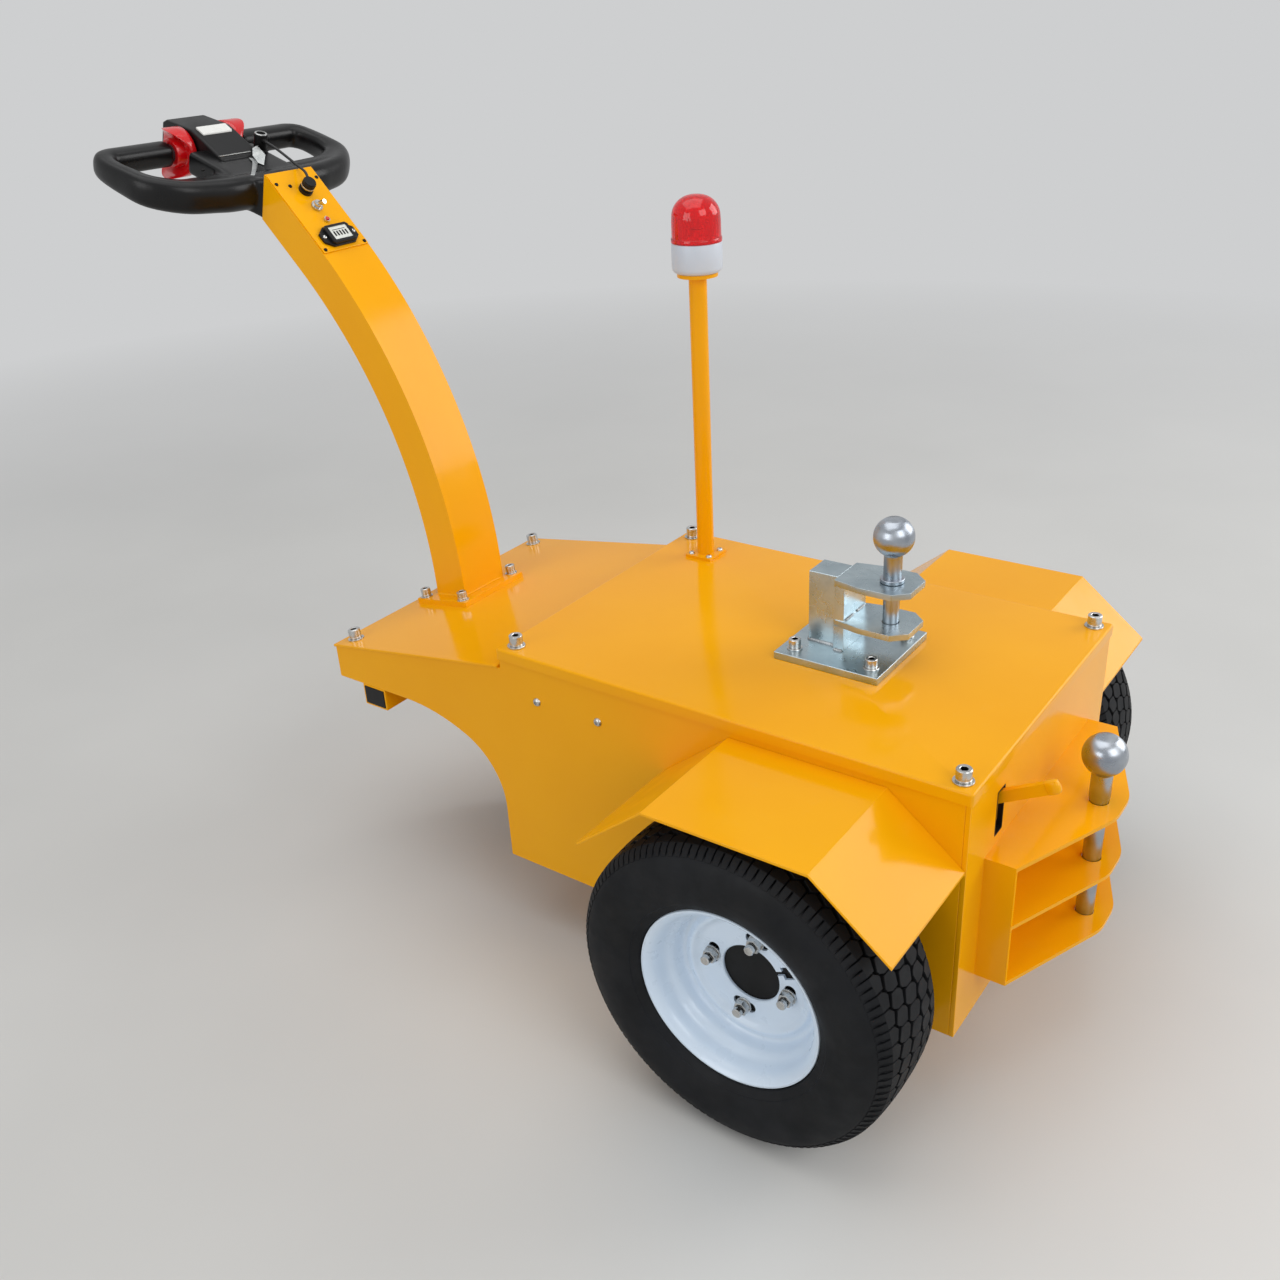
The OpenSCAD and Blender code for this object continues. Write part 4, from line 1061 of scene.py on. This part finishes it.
def beacon_dome():
    """A ribbed red lens on a rim: its outside up to the top, then its inside down again."""
    ribs, seg = 15, 120
    outer_r, inner_r, spring, outer_h, inner_h = 32.8, 30.2, 74, 27, 24.4

    def dome(r, h, steps):
        for i in range(1, steps):
            a = TAU / 4 * i / steps
            yield r * math.cos(a) ** 0.86, spring + h * math.sin(a) ** 1.06, 0

    # Columns: radius, height and how far the ribs stand out
    rows = [(inner_r, 40.6, 0), (34.4, 40.6, 0), (34.5, 41.4, 0), (34.5, 45.2, 0), (33.9, 46.4, 0),
            (33.2, 46.8, 0), (33.0, 48, 0.5), (outer_r, spring - 6, 0.5)]
    rows += dome(outer_r, outer_h, 16)
    rows += [(0.6, spring + outer_h, 0), (0.6, spring + inner_h, 0)]
    rows += reversed(list(dome(inner_r, inner_h, 15)))
    rows += [(inner_r, spring - 6, -0.9), (inner_r, 50, -0.9), (inner_r, 47, 0)]
    s = Shape()
    s.loft(BEACON, [star([r + rib * abs(math.sin(ribs * TAU * i / seg)) for i in range(seg)], z)
                    for r, z, rib in rows], closed=True)
    s.make("beacon_dome", [LENS], ("beacon_lens",), sharp=50)


def beacon_lamp():
    """The reflector and the bulb that show through the lens."""
    s = Shape()
    s.lathe(BEACON, [(0, 40.7), (28.6, 40.7), (28.6, 43.6), (26, 44.4), (13, 45.2), (10.6, 48), (10.6, 57),
                     (0, 57.2)], 48)
    s.lathe(BEACON, [(0, 57.3), (9, 57.6), (14, 64), (15.6, 72), (13.6, 81), (8, 87), (0, 89)], 40)
    s.make("beacon_lamp", [LAMP], sharp=40)


# Tyres

TYRE_R = 203
PITCHES = 60
GROOVE = 6.0
# The tread is nearly flat to FLAT either way, falls by DROP there, and turns down over the shoulder
FLAT, DROP, FLAT_TURN, SHOULDER_R = 44, 2.4, 0.06, 23
# From the shoulder over the bulge and the bead and back inside, as (radius, distance across)
SIDEWALL = [(184.6, 65.0), (179.5, 67.2), (173, 69.2), (165, 70.4), (156, 70.5), (147, 69.6), (139, 67.8),
            (131, 65.0), (128.4, 63.8), (127.4, 62.4), (121, 59.0), (118.8, 57.6), (117.6, 55.6),
            (117.2, 53.2), (114.6, 51.8), (111, 48.6), (108.4, 44), (107.2, 38), (109, 33), (114, 40),
            (150, 60), (178, 56), (189, 20)]

# Tread blocks as (part of a pitch, distance across). Each leans along the tyre, so the grooves zigzag
MIDDLE_BLOCK = ((-0.47, -7.5), (0.12, -13.2), (0.30, -11.0), (0.47, -4.0), (0.47, 7.5), (-0.12, 13.2),
                (-0.30, 11.0), (-0.47, 4.0))
SIDE_BLOCK = ((0.47, 20.5), (0.47, 30.5), (-0.12, 36.2), (-0.30, 34.0), (-0.47, 27.5), (-0.47, 16.5),
              (0.12, 13.0), (0.30, 15.0))
SHOULDER_BLOCK = ((0.46, 43.0), (0.46, 51), (-0.46, 51), (-0.46, 39.5), (0.12, 35.5), (0.30, 38.5))
LUG = ((0.41, 50.4), (0.41, 59), (0.37, 67.5), (0.04, 67.5), (0, 59), (0, 50.4))


def crown(t, lift):
    """Radius and offset of the tread at a distance t from the centre plane, lift out of the surface."""
    side = math.copysign(1, t)
    t = abs(t)
    if t <= FLAT:
        a = FLAT_TURN * t / FLAT
        r, y = TYRE_R - DROP * (t / FLAT) ** 2, t
    else:
        a = FLAT_TURN + (t - FLAT) / SHOULDER_R
        r = TYRE_R - DROP + 0.05 - SHOULDER_R * (1 - math.cos(a))
        y = FLAT + SHOULDER_R * (math.sin(a) - FLAT_TURN)
    return r + lift * math.cos(a), side * (y + lift * math.sin(a))


def tread_block(s, at, pitch, outline):
    """A block from the groove's floor to the tread, a little wider below than on top."""
    step = TAU / PITCHES
    middle_s, middle_t = (sum(values) / len(outline) for values in zip(*outline))
    rings = []
    for lift, share in ((-GROOVE, 1.05), (-0.5, 1.0), (0.0, 0.965)):
        ring = []
        for along, across in outline:
            a = (pitch + middle_s + (along - middle_s) * share) * step
            r, y = crown(middle_t + (across - middle_t) * share, lift)
            ring.append((r * math.cos(a), r * math.sin(a), y))
        rings.append(ring)
    s.loft(at, rings)


def tyre(name, at, body):
    """A low-pressure tyre with staggered turf blocks, and two lugs a pitch over each shoulder."""
    s = Shape()
    half = [crown(t, -GROOVE) for t in (0, 12, 24, 36, 44, 50)]
    half += [crown(t, lift) for t, lift in ((55, -5.2), (59, -3.9), (63, -2.3), (66, -1.1), (69, -0.2))]
    half += SIDEWALL
    s.ring(at, half + [(r, -y) for r, y in reversed(half) if abs(y) > 0.01], 144)
    for pitch in range(PITCHES):
        tread_block(s, at, pitch, MIDDLE_BLOCK)
        for side in (-1, 1):
            tread_block(s, at, pitch + 0.5, [(along, side * t) for along, t in SIDE_BLOCK])
            tread_block(s, at, pitch, [(along, side * t) for along, t in SHOULDER_BLOCK])
            for start in (-0.46, 0.05):
                tread_block(s, at, pitch, [(start + along, side * t) for along, t in LUG])
    s.make(name + "_tread", [TYRE], (name,), 26, body)


# Rims: sections as (radius, distance across)

# The outside, from the centre hole over the disc and its pressed ring to the bead's flange
RIM_DISC = [(37.2, 0.4), (37.2, 2.8), (38.4, 4.0), (41, 3.9), (66, 3.7), (70, 4.2), (73, 6.0), (75.5, 8.2),
            (78, 9.0), (80.5, 8.4), (83, 6.4), (86, 5.0), (89, 5.6), (91.5, 8.6)]
RIM_BARREL = [(92.8, 13), (93.8, 18), (95.6, 22.6), (98.6, 26.4), (101, 29.6), (102.4, 34), (103.2, 40),
              (104.6, 46), (107.4, 51), (111, 54.6), (113.8, 56.6), (115.9, 56.2), (116.6, 54.2)]
# The barrel's tyre side, from the flange back to its middle
RIM_BACK = [(115.8, 52.6), (113.4, 52.4), (109.6, 49.0), (106.8, 44.6), (105.4, 39.4), (104.6, 33.6),
            (103, 28.4), (99.8, 24.4), (97.4, 21), (95.9, 16.8), (95, 12)]
# The disc's hidden side, from the barrel to the centre hole
RIM_UNDER = [(92.6, 3.0), (89.4, 2.9), (86, 2.4), (82, 4.0), (80, 5.8), (78, 6.4), (75.9, 5.6), (73.4, 3.2),
             (70.4, 1.4), (66, 0.9)]
STUD_R = 50.8
STUDS = [90 * k - 10 for k in range(4)]
NOTCH_AT = 25
# The notch beside the centre hole: a narrow way out of the hole, then a wider pocket
NOTCH = [(34, -2.6), (46, -2.6), (46, -8), (62, -8), (62, 8), (46, 8), (46, 2.6), (34, 2.6)]


def stud_slot():
    """A slot round a stud: a circle whose halves are moved apart along the wheel's edge."""
    r, apart, seg = 7.4, 7.5, 24
    return [(STUD_R + r * x, r * y + apart * math.copysign(1, math.sin(TAU * (i + 0.5) / seg)))
            for i, (x, y, _) in enumerate(around(1, 0, seg))]


def rim_cutter(at):
    cut = Shape()
    for degrees in STUDS:
        cut.loft(turned(at, degrees), [level(stud_slot(), z) for z in (-3, 6.5)])
    cut.loft(turned(at, NOTCH_AT), [level(NOTCH, z) for z in (-3, 6.5)])
    return add("cutter", cut.mesh("cutter"))


def rim(name, at, body):
    """A pressed steel wheel: slots round its studs and a notch beside its centre hole."""
    s = Shape()
    inner_barrel = [(r, -y) for r, y in reversed(RIM_BARREL + RIM_BACK)]
    s.ring(at, RIM_DISC + RIM_BARREL + RIM_BACK + inner_barrel + RIM_UNDER, 144)
    o = s.make(name + "_disc", [RIM], (name,), body=body)
    cutter = rim_cutter(at)
    m = o.modifiers.new("cut", "BOOLEAN")
    m.operation = "DIFFERENCE"
    m.solver = "EXACT"
    m.use_self = True
    m.object = cutter
    apply_modifiers(o)
    bpy.data.objects.remove(cutter)
    o.data.set_sharp_from_angle(angle=math.radians(40))


def wheel_nuts(name, at, body):
    s = Shape()
    for degrees in STUDS:
        a = math.radians(degrees)
        stud = stand(at, (STUD_R * math.cos(a), STUD_R * math.sin(a), 3.8))
        s.ring(stud, [(6.2, 0), (9.7, 0), (10, 0.4), (10, 2.0), (9.6, 2.5), (6.2, 2.5)], 28)
        s.prism(stud, hexagon(9.2, 0.3), 2.5, 11.4, 0.7)
        s.lathe(stud, [(0, 10.8), (6.0, 10.8), (6.0, 18.4), (5.2, 19.4), (0, 19.6)], 24)
    s.make(name + "_nuts", [BOLT], body=body)


def wheels():
    for tag, side in (("left", -1), ("right", 1)):
        at = wheel_frame(tag, side)
        body = "wheel_" + tag
        tyre("tyre_" + tag, at, body)
        rim("rim_" + tag, at, body)
        wheel_nuts("rim_" + tag, at, body)


# Light, floor and background

BACKGROUND = (206, 207, 208)
FILL_LIGHT = 0.36
FLOOR_HALF = 60.0
# Distances from the object at which the floor starts and ends to pass into the background
FLOOR_FADE = (1.6, 4.2)

# Area lamps. Columns: name, place, aim, size, power
LAMPS = (
    ("overhead", (-0.3, -0.2, 3.6), (0, 0, 0.3), 3.2, 42),
    ("window", (3.3, 3.6, 2.5), (0.2, 0, 0.4), 3.2, 112),
    ("front", (3.6, -1.2, 2.8), (0.2, 0, 0.4), 2.4, 50),
    ("fill", (-0.8, -4.6, 2.0), (0, 0, 0.4), 2.6, 50),
)


def floor_look():
    """A pale floor that passes into the background far from the object."""
    k = Look("floor_pale", rough=0.6)
    k.color(k.blend(k.clouds(1.2, 4), (206, 206, 204), (214, 214, 212)))
    k.bump(k.noise(60, 3), 0.0002, 0.2)
    nodes = k.tree.nodes
    far = k.node("VectorMath", {0: k.place}, operation="LENGTH")["Value"]
    mixed = k.node("MixShader", {0: k.span(far, *FLOOR_FADE), 1: nodes["Principled BSDF"].outputs[0],
                                 2: k.node("Emission", {"Color": BACKGROUND})[0]})
    k.feed(nodes["Material Output"], {0: mixed[0]})
    return k.material


def floor():
    r = FLOOR_HALF
    mesh = bpy.data.meshes.new("floor")
    mesh.from_pydata([(-r, -r, 0), (r, -r, 0), (r, r, 0), (-r, r, 0)], [], [(0, 1, 2, 3)])
    mesh.materials.append(floor_look())
    add("floor", mesh)


def background():
    """The pale background for camera, glossy and transmission rays, and a plain fill for the rest."""
    world = bpy.data.worlds.new("studio")
    bpy.context.scene.world = world
    world.use_nodes = True
    world.node_tree.nodes.clear()
    k = Nodes(world.node_tree)
    seen = k.node("Background", {"Color": BACKGROUND})[0]
    fill = k.node("Background", {"Color": (255, 255, 255), "Strength": FILL_LIGHT})[0]
    rays = k.node("LightPath", {})
    direct = rays["Is Camera Ray"]
    for ray in ("Is Glossy Ray", "Is Transmission Ray"):
        direct = k.node("Math", {0: direct, 1: rays[ray]}, operation="MAXIMUM")[0]
    k.node("OutputWorld", {0: k.node("MixShader", {0: direct, 1: fill, 2: seen})[0]})


def lamp(name, at, aim, size, power):
    data = bpy.data.lights.new(name, "AREA")
    data.energy = power
    data.size = size
    towards = (Vector(aim) - Vector(at)).to_track_quat("-Z", "Y").to_matrix().to_4x4()
    add(name, data).matrix_world = Matrix.Translation(at) @ towards


# The whole scene

set_camera()
key_cable()
dress_nodes()
top_cover()
frame_screws()
panel_screws()
gauge_screws()
hitch_welds()
painted_welds()
drop_pin("top_pin", "top_hitch_pin", "top_hitch_jaw", rod=10, ball=25, neck=36, collar=15)
drop_pin("end_pin", "end_hitch_pin", "end_hitch", rod=11, ball=26, neck=40)
lever_cap()
slot_shade_lining()
handle()
throttles()
key_lock()
key_ring()
key_blank()
web_screw()
gauge_bezel()
gauge_window()
gauge_bars()
lamp_lens()
plug_ring()
plug_knurl()
beacon_body()
beacon_dome()
beacon_lamp()
wheels()
floor()
background()
for row in LAMPS:
    lamp(*row)
bpy.context.scene.view_settings.view_transform = "Standard"
